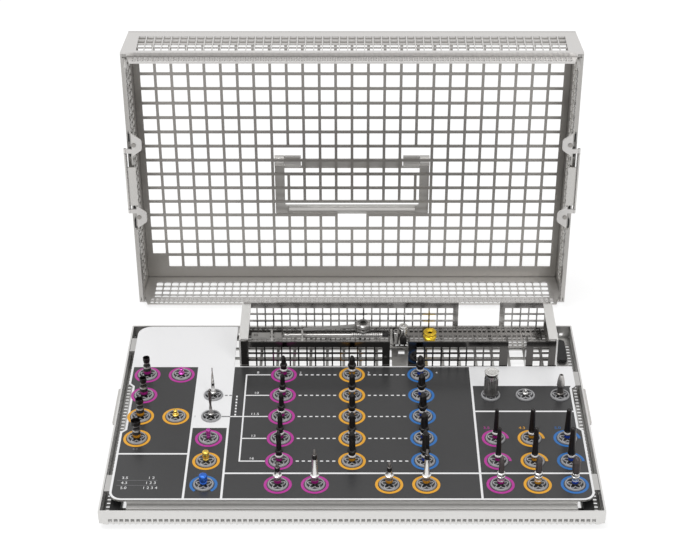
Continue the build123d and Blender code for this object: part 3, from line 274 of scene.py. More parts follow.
class Builder:
    """Collects vertices in millimetres, faces and each face's finish, and makes one object of them."""

    def __init__(self, *finishes):
        self.finishes = list(finishes)
        self.verts = []
        self.faces = []
        self.slots = []

    def slot(self, finish):
        if finish not in self.finishes:
            self.finishes.append(finish)
        return self.finishes.index(finish)

    def add(self, verts, faces, finish):
        start = len(self.verts)
        self.verts += [tuple(v) for v in verts]
        self.faces += [[start + i for i in face] for face in faces]
        self.slots += [self.slot(finish)] * len(faces)

    def prism(self, outline, low, high, finish):
        """A solid between two levels over a counter-clockwise outline of (x, y) points."""
        count = len(outline)
        verts = [(x, y, low) for x, y in outline] + [(x, y, high) for x, y in outline]
        faces = [list(range(count))[::-1], list(range(count, 2 * count))]
        for i in range(count):
            j = (i + 1) % count
            faces.append([i, j, count + j, count + i])
        self.add(verts, faces, finish)

    def bar(self, low_x, low_y, high_x, high_y, finish):
        """A printed bar on the plate."""
        outline = [(low_x, low_y), (high_x, low_y), (high_x, high_y), (low_x, high_y)]
        self.prism(outline, RIM + PRINT, RIM + 2 * PRINT, finish)

    def arc(self, x, y, inner, outer, start, sweep, low, high, finish, steps=72):
        """A flat ring, or part of one, between two radii and two levels."""
        closed = sweep >= 360
        count = max(8, int(steps * sweep / 360))
        turns = count if closed else count + 1
        verts = []
        for i in range(turns):
            a = math.radians(start + sweep * i / count)
            for radius, level in ((inner, low), (outer, low), (outer, high), (inner, high)):
                verts.append((x + radius * math.cos(a), y + radius * math.sin(a), level))
        faces = []
        for i in range(count):
            a = 4 * i
            b = 4 * ((i + 1) % turns)
            for k in range(4):
                m = (k + 1) % 4
                faces.append([a + k, b + k, b + m, a + m])
        if not closed:
            last = 4 * (turns - 1)
            faces += [[0, 1, 2, 3], [last + 3, last + 2, last + 1, last]]
        self.add(verts, faces, finish)

    def lathe(self, x, y, base, rings, around=36, tilt=None):
        """A turned body from rings of (radius, height, finish, flute); a ring of no radius is a pole."""
        start = len(self.verts)
        loops = []
        for radius, height, finish, flute in rings:
            if radius <= 0:
                loops.append([len(self.verts) - start])
                self.verts.append((0, 0, height))
                continue
            loop = []
            for i in range(around):
                a = 2 * math.pi * i / around
                r = radius
                if flute:
                    count, depth, twist, sharp = flute
                    wave = 0.5 + 0.5 * math.cos(count * a + math.radians(twist) * height)
                    r = radius * (1 - depth * wave ** sharp)
                loop.append(len(self.verts) - start)
                self.verts.append((r * math.cos(a), r * math.sin(a), height))
            loops.append(loop)
        turn = tilt or Matrix.Identity(4)
        for i in range(start, len(self.verts)):
            moved = turn @ Vector(self.verts[i])
            self.verts[i] = (moved.x + x, moved.y + y, moved.z + base)
        for number in range(1, len(loops)):
            low, high = loops[number - 1], loops[number]
            finish = self.slot(rings[number][2])
            if len(low) == 1 and len(high) == 1:
                continue
            for i in range(around):
                j = (i + 1) % around
                if len(low) == 1:
                    face = [low[0], high[j], high[i]]
                elif len(high) == 1:
                    face = [low[i], low[j], high[0]]
                else:
                    face = [low[i], low[j], high[j], high[i]]
                self.faces.append([start + k for k in face])
                self.slots.append(finish)

    def object(self, name, body, replaces=(), smooth=40):
        mesh = bpy.data.meshes.new(name)
        mesh.from_pydata([Vector(v) * MM for v in self.verts], [], self.faces)
        for finish in self.finishes:
            mesh.materials.append(finish)
        mesh.polygons.foreach_set("material_index", self.slots)
        mesh.polygons.foreach_set("use_smooth", [smooth is not None] * len(self.faces))
        mesh.update()
        if smooth is not None:
            mesh.set_sharp_from_angle(angle=math.radians(smooth))
        made = bpy.data.objects.new(name, mesh)
        bpy.context.scene.collection.objects.link(made)
        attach(made, body)
        if replaces:
            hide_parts(*replaces)
        return made


def steps_between(low, high, step):
    count = max(1, round((high - low) / step))
    return [low + (high - low) * i / count for i in range(count + 1)]


def plain(points, finish):
    return [(r, z, finish, None) for r, z in points]


def cutter(low, high, radius_low, radius_high, finish, flute, step=0.5):
    """Rings of a fluted length whose radius runs from one value to another."""
    rings = []
    for z in steps_between(low, high, step):
        share = (z - low) / (high - low)
        rings.append((radius_low + (radius_high - radius_low) * share, z, finish, flute))
    return rings


# Print on the plate

LEFT_LINE, PILOT_LINE, RIGHT_LINE = -94.75, -73.3, 73.1
LINE = 1.3
FRONT = PLATE_LOW[1]
REAR = FRONT_WALL_Y - 1.4
EDGE = PLATE_HALF - LINE
RECEIVER_LOW, RECEIVER_HIGH = edges_of("latch_receiver_left")
NOTCH_SHIFT = 1.75
NOTCH_MIDDLE = (RECEIVER_LOW[1] + RECEIVER_HIGH[1]) / 2 - NOTCH_SHIFT


def corner_arc(x, y, radius, start):
    """Points of a quarter turn, counter-clockwise."""
    return [(x + radius * math.cos(math.radians(start + 11.25 * i)),
             y + radius * math.sin(math.radians(start + 11.25 * i))) for i in range(9)]


def left_zone():
    low_y = FRONT + LINE
    inner = LEFT_LINE - LINE / 2
    notch = 23.8
    points = corner_arc(-EDGE + 5.9, low_y + 5.9, 5.9, 180)
    points += [(inner, low_y), (inner, REAR), (-EDGE, REAR)]
    points += [(-EDGE, NOTCH_MIDDLE + notch + 0.5), (-EDGE + 2.6, NOTCH_MIDDLE + notch - 2.1)]
    points += [(-EDGE + 2.6, NOTCH_MIDDLE - notch + 2.1), (-EDGE, NOTCH_MIDDLE - notch - 0.5)]
    return points


def right_zone():
    low_y = FRONT + LINE
    inner = RIGHT_LINE + LINE / 2
    notch = 21.8
    points = [(inner, low_y)] + corner_arc(EDGE - 5.9, low_y + 5.9, 5.9, 270)
    points += [(EDGE, NOTCH_MIDDLE - notch - 0.5), (EDGE - 2.6, NOTCH_MIDDLE - notch + 2.1)]
    points += [(EDGE - 2.6, NOTCH_MIDDLE + notch - 2.1), (EDGE - 1.6, ROW_0 - 11.4)]
    points += [(inner, ROW_0 - 11.4)]
    return points


def zone(print_, outline):
    print_.prism(outline, RIM, RIM + PRINT, dark_print)


plate_print = Builder(dark_print, white_print)
zone(plate_print, left_zone())
zone(plate_print, right_zone())
pilot_low, pilot_high = LEFT_LINE + LINE / 2, PILOT_LINE - LINE / 2
pilot_top = ROW_0 - 53.0
zone(plate_print, [(pilot_low, FRONT + LINE), (pilot_high, FRONT + LINE), (pilot_high, pilot_top),
                   (pilot_low, pilot_top)])
main_low, main_high = PILOT_LINE + LINE / 2, RIGHT_LINE - LINE / 2
zone(plate_print, [(main_low, FRONT + LINE), (main_high, FRONT + LINE), (main_high, REAR), (main_low, REAR)])
DIVIDER_Y = ROW_0 - 95.0
plate_print.bar(-EDGE, ROW_0 - 78.0, LEFT_LINE, ROW_0 - 76.7, white_print)
plate_print.bar(main_low, DIVIDER_Y - LINE / 2, main_high, DIVIDER_Y + LINE / 2, white_print)
plate_print.bar(RIGHT_LINE, DIVIDER_Y - LINE / 2, EDGE, DIVIDER_Y + LINE / 2, white_print)
plate_print.bar(RIGHT_LINE, ROW_0 - 37.6, EDGE - 2.0, ROW_0 - 36.3, white_print)

# Bracket lines from the lengths to the first column, and dashes between the columns
BRACKET_X, DOTS_X, THIN = -64.9, -69.7, 0.9
plate_print.bar(BRACKET_X - THIN / 2, ROW_0 - 4 * PITCH - THIN / 2, BRACKET_X + THIN / 2, ROW_0 + THIN / 2,
                white_print)
for row in range(5):
    y = ROW_0 - row * PITCH
    plate_print.bar(BRACKET_X + THIN / 2, y - THIN / 2, -2 * PITCH - 8.2, y + THIN / 2, white_print)
    for column in (-2, 0):
        for k in range(7):
            x = column * PITCH + 10.5 + 3.5 * k
            plate_print.bar(x - 0.9, y - THIN / 2, x + 0.9, y + THIN / 2, white_print)
row_2 = ROW_0 - 2 * PITCH
row_1 = ROW_0 - PITCH
plate_print.bar(main_low, row_2 - THIN / 2, BRACKET_X - THIN / 2, row_2 + THIN / 2, white_print)
plate_print.bar(-4 * PITCH + 6.2, row_2 - THIN / 2, main_low, row_2 + THIN / 2, grey_print)
for x in (-76.2, -73.6):
    plate_print.bar(x - 0.8, row_1 - THIN / 2, x + 0.8, row_1 + THIN / 2, grey_print)
for k in range(7):
    y = row_1 - 1.2 - 3.0 * k
    plate_print.bar(DOTS_X - 0.5, y - 0.8, DOTS_X + 0.5, y + 0.8, white_print)
for y in (ROW_0 - 101.3, ROW_0 - 105.7):
    plate_print.bar(-EDGE + 2.0, y - 0.12, -110.5, y + 0.12, grey_print)

# Coloured rings round the holders
RING_IN, RING_OUT = 6.35, 7.95
RINGS = [(-6, 0, magenta_print), (-6, 1, magenta_print), (-6, 2, orange_print), (-6, 3, orange_print),
         (-5, 0, magenta_print), (-5, 2, orange_print), (-4, 3, magenta_print), (-4, 4, orange_print),
         (-2, 5, magenta_print), (-1, 5, magenta_print), (1, 5, orange_print), (2, 5, orange_print)]
for column, finish in ((-2, magenta_print), (0, orange_print), (2, blue_print)):
    RINGS += [(column, row, finish) for row in range(5)]
for column, finish in ((4, magenta_print), (5, orange_print), (6, blue_print)):
    RINGS.append((column, 5, finish))
LEVELS = (RIM + PRINT, RIM + 2.4 * PRINT)
for column, row, finish in RINGS:
    plate_print.arc(*grid(column, row), RING_IN, RING_OUT, 0, 360, *LEVELS, finish)
plate_print.arc(*grid(-4, 5), RING_IN, RING_OUT, -50, 280, *LEVELS, blue_print)
for column, finish in ((4, magenta_print), (5, orange_print), (6, blue_print)):
    for row in (3, 4):
        plate_print.arc(*grid(column, row), RING_IN, RING_OUT, 0, 270, *LEVELS, finish)
plate_print.object("plate_print", "inner_tray", smooth=None)


# Printed numerals


def numeral(name, text, x, y, size, finish):
    """A raised numeral on the plate, turned into a mesh so that it needs no font later."""
    curve = bpy.data.curves.new(name, "FONT")
    curve.body = text
    curve.size = size * MM
    curve.extrude = 0.03 * MM
    curve.align_x = "CENTER"
    curve.align_y = "CENTER"
    source = bpy.data.objects.new(name + "_text", curve)
    bpy.context.scene.collection.objects.link(source)
    bpy.context.view_layer.update()
    mesh = bpy.data.meshes.new_from_object(source.evaluated_get(bpy.context.evaluated_depsgraph_get()))
    bpy.data.objects.remove(source)
    mesh.name = name
    mesh.materials.clear()
    mesh.materials.append(finish)
    mesh.transform(Matrix.Translation(Vector((x, y, RIM + 2.2 * PRINT)) * MM))
    made = bpy.data.objects.new(name, mesh)
    bpy.context.scene.collection.objects.link(made)
    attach(made, "inner_tray")


for row, text in enumerate(("8", "10", "11.5", "13", "16")):
    numeral(f"length_{row + 1}", text, -58.0, ROW_0 - row * PITCH + 2.3, 3.0, white_print)
for column, text, size_text, finish in ((-2, "2", "3.5", magenta_print), (0, "3", "4.3", orange_print),
                                        (2, "4", "5.0", blue_print)):
    numeral(f"step_{text}", text, column * PITCH + 10.2, ROW_0 + 2.2, 2.6, white_print)
    numeral(f"diameter_{text}", size_text, column * PITCH, ROW_0 - 10.5, 3.2, finish)
for column, size_text, finish in ((4, "3.5", magenta_print), (5, "4.3", orange_print),
                                  (6, "5.0", blue_print)):
    numeral(f"dense_{column}", size_text, column * PITCH - 4.6, ROW_0 - 3 * PITCH + 9.9, 3.2, finish)
numeral("step_1", "1", -93.6, row_2, 2.4, grey_print)
numeral("mill_size", "6.2", -126.0, ROW_0 - 3 * PITCH - 10.0, 2.4, grey_print)
for number, (left, right) in enumerate((("3.5", "1 2"), ("4.3", "1 2 3"), ("5.0", "1 2 3 4"))):
    y = ROW_0 - 99.2 - 4.4 * number
    numeral(f"table_left_{number + 1}", left, -129.0, y, 3.0, white_print)
    numeral(f"table_right_{number + 1}", right, -114.0, y, 3.0, white_print)


# Holders: a moulded ring with a clover ribbon over a dark disc of painted shade

PLACES = [(c, r) for c in (-2, 0, 2) for r in range(5)] + [(c, 5) for c in (-2, -1, 1, 2)]
PLACES += [(-6, r) for r in range(4)] + [(-5, 0), (-5, 2)] + [(-4, r) for r in range(1, 6)]
PLACES += [(c, r) for c in (4, 5, 6) for r in (1, 3, 4, 5)]
HOLDER_R, NECK_R, WELL_R, BORE_R = 5.85, 5.1, 4.8, 1.3
COLLAR = 1.1
PETALS = 5
LOBE_IN, LOBE_OUT, RIBBON = 2.1, 4.3, 0.62


def clover(builder, x, y, low, high, turn, finish):
    """A closed ribbon that winds in and out between two radii, one lobe for each petal."""
    count = 80
    verts = []
    for i in range(count):
        a = 2 * math.pi * i / count
        wave = 0.5 + 0.5 * math.cos(PETALS * (a - math.radians(turn)))
        middle = LOBE_IN + (LOBE_OUT - LOBE_IN) * wave ** 0.7
        for radius, level in ((middle - RIBBON / 2, low), (middle + RIBBON / 2, low),
                              (middle + RIBBON / 2, high), (middle - RIBBON / 2, high)):
            verts.append((x + radius * math.cos(a), y + radius * math.sin(a), level))
    faces = []
    for i in range(count):
        a = 4 * i
        b = 4 * ((i + 1) % count)
        for k in range(4):
            m = (k + 1) % 4
            faces.append([a + k, b + k, b + m, a + m])
    builder.add(verts, faces, finish)


holders = Builder(silicone, painted_shade_silicone)
for column, row in PLACES:
    x, y = grid(column, row)
    under = PLATE_BOTTOM - COLLAR
    top = RIM + COLLAR
    profile = [(WELL_R, top - 0.15), (WELL_R + 0.15, top), (HOLDER_R - 0.45, top)]
    profile += [(HOLDER_R - 0.12, top - 0.2), (HOLDER_R, top - 0.5), (HOLDER_R, RIM + PRINT)]
    profile += [(NECK_R, RIM + PRINT), (NECK_R, PLATE_BOTTOM), (HOLDER_R, PLATE_BOTTOM)]
    profile += [(HOLDER_R, under + 0.3), (HOLDER_R - 0.3, under), (WELL_R, under), (WELL_R, top - 0.15)]
    holders.lathe(x, y, 0, plain(profile, silicone), around=40)
    clover(holders, x, y, top - 1.1, top - 0.4, 90, silicone_pale)
    # A dark disc under the ribbon paints the shade seen in the holder's openings
    holders.arc(x, y, BORE_R, WELL_R + 0.1, 0, 360, RIM - 1.0, RIM - 0.5, painted_shade_silicone, steps=40)
holders.object("holder_rings", "inner_tray", ["instrument_holders"], smooth=50)


# Instruments

SHANK = [(0, -6.6), (0.85, -6.6), (1.175, -6.0), (1.175, 0.9)]
SPIRAL = (3, 0.22, 14, 1.5)
GROOVE = (4, 0.2, 4, 2.0)


def drill_foot(band, base_radius=2.0):
    """The lower end that every handpiece instrument shares: dark seat, coloured band and white ring."""
    rings = plain(SHANK, tool_steel)
    rings += plain([(1.5, 1.0), (base_radius - 0.2, 1.1), (base_radius - 0.1, 1.5)], grey_steel)
    rings += plain([(base_radius, 1.5), (base_radius, 3.2)], band)
    rings += plain([(base_radius - 0.2, 3.3), (base_radius - 0.2, 3.8)], black_coat)
    ring = base_radius + 0.35
    rings += plain([(base_radius + 0.25, 4.0), (ring, 4.3), (ring, 4.9), (base_radius, 5.3)], white_ring)
    return rings


def tapered_drill(builder, column, row, length, diameter, band):
    radius = diameter / 2
    top = 7.0 + 0.95 * length
    rings = drill_foot(band)
    rings += plain([(1.5, 5.4), (1.5, 6.4), (radius * 0.9, 6.7), (radius + 0.45, 7.2), (radius + 0.5, 7.8),
                    (radius + 0.3, 8.4), (radius * 0.92, 8.7)], black_coat)
    rings += cutter(8.9, top - 2.2, radius * 0.96, radius * 0.84, black_coat, SPIRAL)
    rings += cutter(top - 2.2, top - 0.3, radius * 0.84, radius * 0.42, black_coat, SPIRAL, 0.4)[1:]
    rings += plain([(0, top)], black_coat)
    builder.lathe(*grid(column, row), RIM, rings)


LENGTHS = (8.0, 10.0, 11.5, 13.0, 16.0)
for node, column, diameter, band in (("tapered_drills_narrow", -2, 3.5, magenta_band),
                                     ("tapered_drills_regular", 0, 4.3, orange_band),
                                     ("tapered_drills_wide", 2, 5.0, blue_band)):
    drills = Builder()
    for row, length in enumerate(LENGTHS):
        tapered_drill(drills, column, row, length, diameter, band)
    body = node.replace("_drills", "")
    drills.object(node + "_fluted", body, [node])

DENSE = (3.3, 4.1, 4.7, 3.4, 3.9, 4.8)
DENSE_TOPS = (21.9, 24.6)
dense = Builder()
for number, diameter in enumerate(DENSE):
    column = 4 + number % 3
    band = (magenta_band, orange_band, blue_band)[number % 3]
    radius = diameter / 2
    top = DENSE_TOPS[number // 3]
    rings = drill_foot(band, 1.8)
    rings += plain([(1.5, 5.4), (1.5, 5.8), (radius, 6.1)], black_coat)
    rings += cutter(6.3, top - 1.2, radius, radius * 0.7, black_coat, GROOVE)
    rings += plain([(radius * 0.55, top - 0.4), (radius * 0.3, top), (0, top)], black_coat)
    dense.lathe(*grid(column, 3 + number // 3), RIM, rings)
dense.object("dense_bone_drills_fluted", "dense_drills", ["dense_bone_drills"])

TAPS = (3.3, 3.8, 4.9)
taps = Builder()
for number, diameter in enumerate(TAPS):
    band = (magenta_band, orange_band, blue_band)[number]
    radius = diameter / 2
    rings = plain(SHANK, tool_steel)
    rings += plain([(1.4, 1.0), (1.9, 1.1), (1.9, 2.0)], grey_steel)
    rings += plain([(2.0, 2.0), (2.0, 3.6)], band)
    rings += plain([(1.9, 3.7), (1.9, 5.2), (2.3, 5.4), (2.3, 6.6), (2.0, 6.8)], bright_steel)
    rings += plain([(2.0, 7.4), (2.3, 7.6), (2.3, 8.9), (1.6, 9.3)], bright_steel)
    for z in steps_between(9.5, 16.8, 0.2):
        ridge = 0.12 if int(round(z / 0.2)) % 4 < 2 else 0.0
        rings.append((radius - ridge, z, tap_coat, (4, 0.16, 0, 3.0)))
    rings += plain([(radius * 0.86, 18.0), (radius * 0.62, 19.2), (radius * 0.3, 19.9), (0, 20.0)], tap_coat)
    taps.lathe(*grid(4 + number, 5), RIM, rings)
taps.object("screw_taps_threaded", "taps", ["screw_taps"])


def implant_driver(builder, column, height, band):
    rings = plain(SHANK, tool_steel)
    rings += plain([(1.4, 1.0), (1.9, 1.2), (1.9, 2.4)], grey_steel)
    rings += plain([(2.15, 2.5), (2.2, 4.4)], band)
    rings += plain([(2.1, 4.5), (2.1, 5.6)], grey_steel)
    rings += plain([(2.3, 6.2), (2.55, 6.7), (2.55, 7.3), (1.8, 7.7)], bright_steel)
    tall = height > 20
    body, collar, tip = (1.35, 1.45, 0.8) if tall else (1.45, 1.55, 0.9)
    body_top, collar_top = (18.7, 21.8) if tall else (10.1, 12.9)
    rings += plain([(1.65, 7.9), (body, body_top)], bright_steel)
    rings += plain([(collar - 0.1, body_top + 0.1), (collar, body_top + 0.4), (collar, collar_top - 0.3),
                    (collar - 0.3, collar_top)], black_coat)
    rings += [(tip, collar_top + 0.1, grey_steel, (6, 0.12, 0, 2.0)),
              (tip, height - 0.4, grey_steel, (6, 0.12, 0, 2.0))]
    rings += plain([(tip - 0.25, height), (0, height)], grey_steel)
    builder.lathe(*grid(column, 5), RIM, rings)


for node, pair, band in (("implant_drivers_narrow", ((-2, 16.0), (-1, 25.2)), magenta_band),
                         ("implant_drivers_regular", ((1, 16.0), (2, 25.2)), orange_band)):
    drivers = Builder()
    for column, height in pair:
        implant_driver(drivers, column, height, band)
    drivers.object(node + "_banded", "implant_drivers", [node])

MILLS = ((4.4, magenta_band), (4.5, magenta_band), (5.1, orange_band), (6.0, orange_band))
for number, (diameter, band) in enumerate(MILLS):
    cup = diameter / 2
    rings = plain(SHANK, tool_steel)
    rings += plain([(1.4, 0.9), (2.3, 1.1), (2.35, 2.0)], black_coat)
    rings += plain([(2.4, 2.1), (2.4, 3.9)], band)
    rings += plain([(2.35, 4.0), (2.35, 6.2)], black_coat)
    rings += plain([(2.2, 6.4), (2.2, 7.4)], tool_steel)
    rings += plain([(2.0, 7.6), (1.7, 8.6), (1.65, 9.3)], black_coat)
    rings += plain([(1.9, 9.5), (1.9, 9.9)], tool_steel)
    rings += plain([(1.8, 10.1), (cup - 0.15, 10.8)], black_coat)
    rings += [(cup, 11.6, black_coat, (8, 0.07, 20, 1.0)), (cup, 13.2, black_coat, (8, 0.12, 20, 1.0))]
    rings += plain([(cup - 0.45, 13.2), (cup - 0.5, 11.0), (0, 10.9)], black_coat)
    mill = Builder()
    mill.lathe(*grid(-6, number), RIM, rings)
    node = f"bone_mill_{number + 1}"
    mill.object(node + "_crown", "bone_mills", [node])

for node, row, finish in (("guide_narrow", 0, magenta_metal), ("guide_regular", 2, gold_metal)):
    rings = plain(SHANK, tool_steel)
    rings += plain([(1.6, 1.0), (1.9, 1.2), (1.9, 1.9), (1.3, 2.2), (1.3, 2.9), (0.95, 3.1), (0.95, 3.9),
                    (1.2, 4.1), (1.2, 4.7), (0.8, 4.9), (0.7, 5.6), (0.5, 5.9), (0, 5.9)], finish)
    pin = Builder()
    pin.lathe(*grid(-5, row), RIM, rings)
    slot = "magenta_anodised" if row == 0 else "gold_anodised"
    pin.object(node + "_pin", "guides", [node])

INDICATORS = (("indicator_narrow", 3, 1.45, 6.8, magenta_metal, "magenta_anodised"),
              ("indicator_regular", 4, 2.0, 7.3, gold_metal, "gold_anodised"),
              ("indicator_wide", 5, 2.4, 7.3, blue_metal, "blue_anodised"))
for node, row, radius, height, finish, slot in INDICATORS:
    rings = plain(SHANK, tool_steel)
    rings += plain([(radius * 0.7, 0.9), (radius * 0.85, 1.4), (radius * 0.85, 2.0)], finish)
    rings += plain([(radius * 0.7, 2.3), (radius * 0.72, 2.9), (radius, 3.3)], finish)
    rings += plain([(radius, height - 0.6), (radius * 0.93, height - 0.25)], finish)
    rings += plain([(radius * 0.75, height), (0, height)], finish)
    pin = Builder()
    pin.lathe(*grid(-4, row), RIM, rings)
    pin.object(node + "_pin", "indicators", [node])

precision = Builder()
rings = plain(SHANK, tool_steel)
rings += plain([(1.5, 1.0), (1.7, 1.3), (1.7, 2.8), (1.15, 3.2), (1.0, 8.0)], bright_steel)
rings += plain([(0.95, 8.2), (0.9, 9.4)], black_coat)
rings += plain([(0.88, 9.6), (0.8, 12.0)], bright_steel)
rings += cutter(12.2, 20.6, 0.75, 0.32, bright_steel, (2, 0.3, 40, 1.0), 0.3)
rings += plain([(0, 21.8)], bright_steel)
precision.lathe(*grid(-4, 1), RIM, rings)
precision.object("precision_drill_pointed", "pilot_drills", ["precision_drill"])

twist = Builder()
rings = plain(SHANK, tool_steel)
rings += plain([(1.5, 1.0), (1.7, 1.3), (1.7, 2.6), (1.05, 3.0), (0.95, 6.5)], tool_steel)
rings += cutter(6.7, 19.8, 0.95, 0.95, grey_steel, (2, 0.34, 38, 1.0), 0.3)
rings += plain([(0.5, 20.3), (0, 20.6)], grey_steel)
twist.lathe(*grid(-4, 2), RIM, rings)
twist.object("twist_drill_fluted", "pilot_drills", ["twist_drill"])

knurled = Builder()
rings = plain(SHANK, tool_steel) + plain([(1.6, 0.9), (1.9, 1.1), (1.9, 1.5), (3.7, 1.6)], grey_steel)
KNURL = (22, 0.09, 0, 1.0)
rings += [(r, z, knurl_steel, KNURL) for r, z in ((4.1, 1.9), (4.2, 2.3), (4.2, 12.9), (4.1, 13.3))]
rings += plain([(4.1, 13.4), (4.05, 13.9), (3.9, 15.9), (3.4, 16.0)], bright_steel)
rings += plain([(2.8, 16.1), (2.8, 16.8)], black_coat)
rings += plain([(4.1, 16.9), (4.3, 17.1), (4.3, 17.8), (4.0, 18.1)], bright_steel)
rings += plain([(2.4, 18.2), (2.1, 17.9), (0, 17.9)], bright_steel)
knurled.lathe(*grid(4, 1), RIM, rings, around=88)
knurled.object("knurled_screwdriver_capped", "screwdrivers", ["knurled_screwdriver"])

machine = Builder()
rings = plain(SHANK, tool_steel)
rings += plain([(1.3, 1.0), (1.6, 1.2), (1.6, 2.2), (1.0, 2.5)], bright_steel)
rings += plain([(0.85, 4.1), (0.6, 4.5), (0, 4.5)], bright_steel)
machine.lathe(*grid(5, 1), RIM, rings)
machine.object("machine_screwdriver_short", "screwdrivers", ["machine_screwdriver"])

extension = Builder()
rings = plain(SHANK, tool_steel)
rings += plain([(2.2, 0.9), (2.45, 1.2), (2.45, 2.3), (1.9, 2.7), (1.9, 7.4)], grey_steel)
rings += plain([(2.4, 8.1), (2.4, 9.0), (2.15, 11.5), (1.25, 15.3), (1.15, 15.4), (0.85, 15.4)], tool_steel)
rings += plain([(0.8, 15.2), (0.8, 12.6), (0, 12.6)], black_coat)
extension.lathe(*grid(6, 1), RIM, rings)
extension.object("drill_extension_socket", "screwdrivers", ["drill_extension"])


# Tools in the compartment

ROD_LOW, ROD_HIGH = edges_of("wrench_body")
ROD_Y, ROD_Z = (ROD_LOW[1] + ROD_HIGH[1]) / 2, (ROD_LOW[2] + ROD_HIGH[2]) / 2
ROD_LENGTH = ROD_HIGH[0] - ROD_LOW[0]
LYING = Matrix.Rotation(math.radians(90), 4, "Y")
rod = Builder()
plain_end = ROD_LENGTH - 24.0
rings = plain([(0, 0), (0.7, 0.1), (1.15, 0.7), (1.15, 2.6), (0.9, 3.0), (0.9, 3.6)], tool_steel)
rings += plain([(1.2, 4.2), (1.2, plain_end - 1), (1.45, plain_end)], tool_steel)
for k in range(14):
    z = plain_end + 1.3 * k
    rings += plain([(1.7, z + 0.1), (1.7, z + 0.75), (1.4, z + 0.9), (1.4, z + 1.25)], tool_steel)
rings += plain([(1.6, ROD_LENGTH - 5.4), (1.6, ROD_LENGTH - 4.8)], tool_steel)
rings += plain([(1.1, ROD_LENGTH - 4.6), (1.1, ROD_LENGTH - 0.5), (0.7, ROD_LENGTH), (0, ROD_LENGTH)],
               black_coat)
rod.lathe(ROD_LOW[0], ROD_Y, ROD_Z, rings, around=28, tilt=LYING)
rod.object("wrench_rod", "wrench", ["wrench_body"])

HEAD_LOW, HEAD_HIGH = edges_of("wrench_head")
head_x, head_y = (HEAD_LOW[0] + HEAD_HIGH[0]) / 2, (HEAD_LOW[1] + HEAD_HIGH[1]) / 2
head_r = (HEAD_HIGH[0] - HEAD_LOW[0]) / 2
head_h = HEAD_HIGH[2] - HEAD_LOW[2]
head = Builder()
LOBES = (6, 0.1, 0, 1.0)
rings = plain([(2.0, 0), (head_r - 0.6, 0)], tool_steel)
rings += [(head_r, 0.5, tool_steel, LOBES), (head_r, 1.8, tool_steel, LOBES)]
rings += plain([(head_r - 0.7, 2.1), (head_r - 0.7, 2.7)], grey_steel)
rings += [(head_r - 0.1, 3.0, tool_steel, LOBES), (head_r - 0.1, head_h - 0.8, tool_steel, LOBES)]
rings += plain([(head_r - 1.0, head_h - 0.2), (3.1, head_h - 0.1), (3.0, head_h - 0.5)], tool_steel)
rings += plain([(2.4, head_h - 0.5), (2.3, head_h), (2.0, head_h), (2.0, 0)], tool_steel)
head.lathe(head_x, head_y, HEAD_LOW[2], rings, around=48)
head.object("wrench_ratchet_head", "wrench", ["wrench_head"])

# Clearance under the tools that stand on the shelf, in millimetres
SEAT = 0.03
AD_LOW, AD_HIGH = edges_of("driver_adapter")
POST_R, BLOCK_R, POST_H, BLOCK_H = 2.1, 2.8, 9.5, AD_HIGH[2] - AD_LOW[2]
adapter = Builder()
rings = plain([(0, 0), (1.6, 0), (1.7, 0.2), (1.7, 5.4), (POST_R - 0.1, 5.7)], tool_steel)
rings += [(POST_R, 6.0, tool_steel, (10, 0.08, 0, 1.0)), (POST_R, 8.6, tool_steel, (10, 0.08, 0, 1.0))]
rings += plain([(1.7, 8.8), (1.6, POST_H), (0.9, POST_H)], tool_steel)
rings += plain([(0.8, POST_H - 1.2), (0, POST_H - 1.2)], tool_steel)
adapter.lathe(AD_LOW[0] + POST_R, AD_LOW[1] + POST_R, AD_LOW[2] + SEAT, rings, around=40)
rings = plain([(0, 0), (1.6, 0), (1.68, 0.2), (1.68, 4.6), (BLOCK_R - 0.3, 4.8), (BLOCK_R, 5.1)], tool_steel)
rings += plain([(BLOCK_R, BLOCK_H - 2.0), (BLOCK_R - 0.4, BLOCK_H - 1.8), (BLOCK_R - 0.4, BLOCK_H - 1.4),
                (BLOCK_R - 0.1, BLOCK_H - 1.2), (BLOCK_R - 0.1, BLOCK_H - 0.3), (BLOCK_R - 0.4, BLOCK_H),
                (1.1, BLOCK_H), (1.0, BLOCK_H - 1.2), (0, BLOCK_H - 1.2)], bright_steel)
adapter.lathe(AD_HIGH[0] - BLOCK_R, AD_HIGH[1] - BLOCK_R, AD_LOW[2] + SEAT, rings, around=40)
adapter.object("driver_adapter_stepped", "driver_adapter", ["driver_adapter"])

BIT_LOW, BIT_HIGH = edges_of("adapter_bit")
bit = Builder()
bx, by = (BIT_LOW[0] + BIT_HIGH[0]) / 2, (BIT_LOW[1] + BIT_HIGH[1]) / 2
bit_r, bit_h = (BIT_HIGH[0] - BIT_LOW[0]) / 2, BIT_HIGH[2] - BIT_LOW[2]
rings = plain([(0, 0), (1.2, 0), (1.3, 0.2), (1.3, bit_h - 5.0), (bit_r, bit_h - 4.8)], grey_steel)
for k in range(4):
    z = bit_h - 4.7 + 1.1 * k
    rings += plain([(bit_r, z), (bit_r, z + 0.6), (bit_r - 0.45, z + 0.7), (bit_r - 0.45, z + 1.0)],
                   black_coat)
rings += plain([(bit_r - 0.5, bit_h - 0.1), (bit_r - 0.8, bit_h), (0, bit_h)], black_coat)
bit.lathe(bx, by, BIT_LOW[2] + SEAT, rings, around=32)
bit.object("adapter_bit_ribbed", "adapter_bit", ["adapter_bit"])

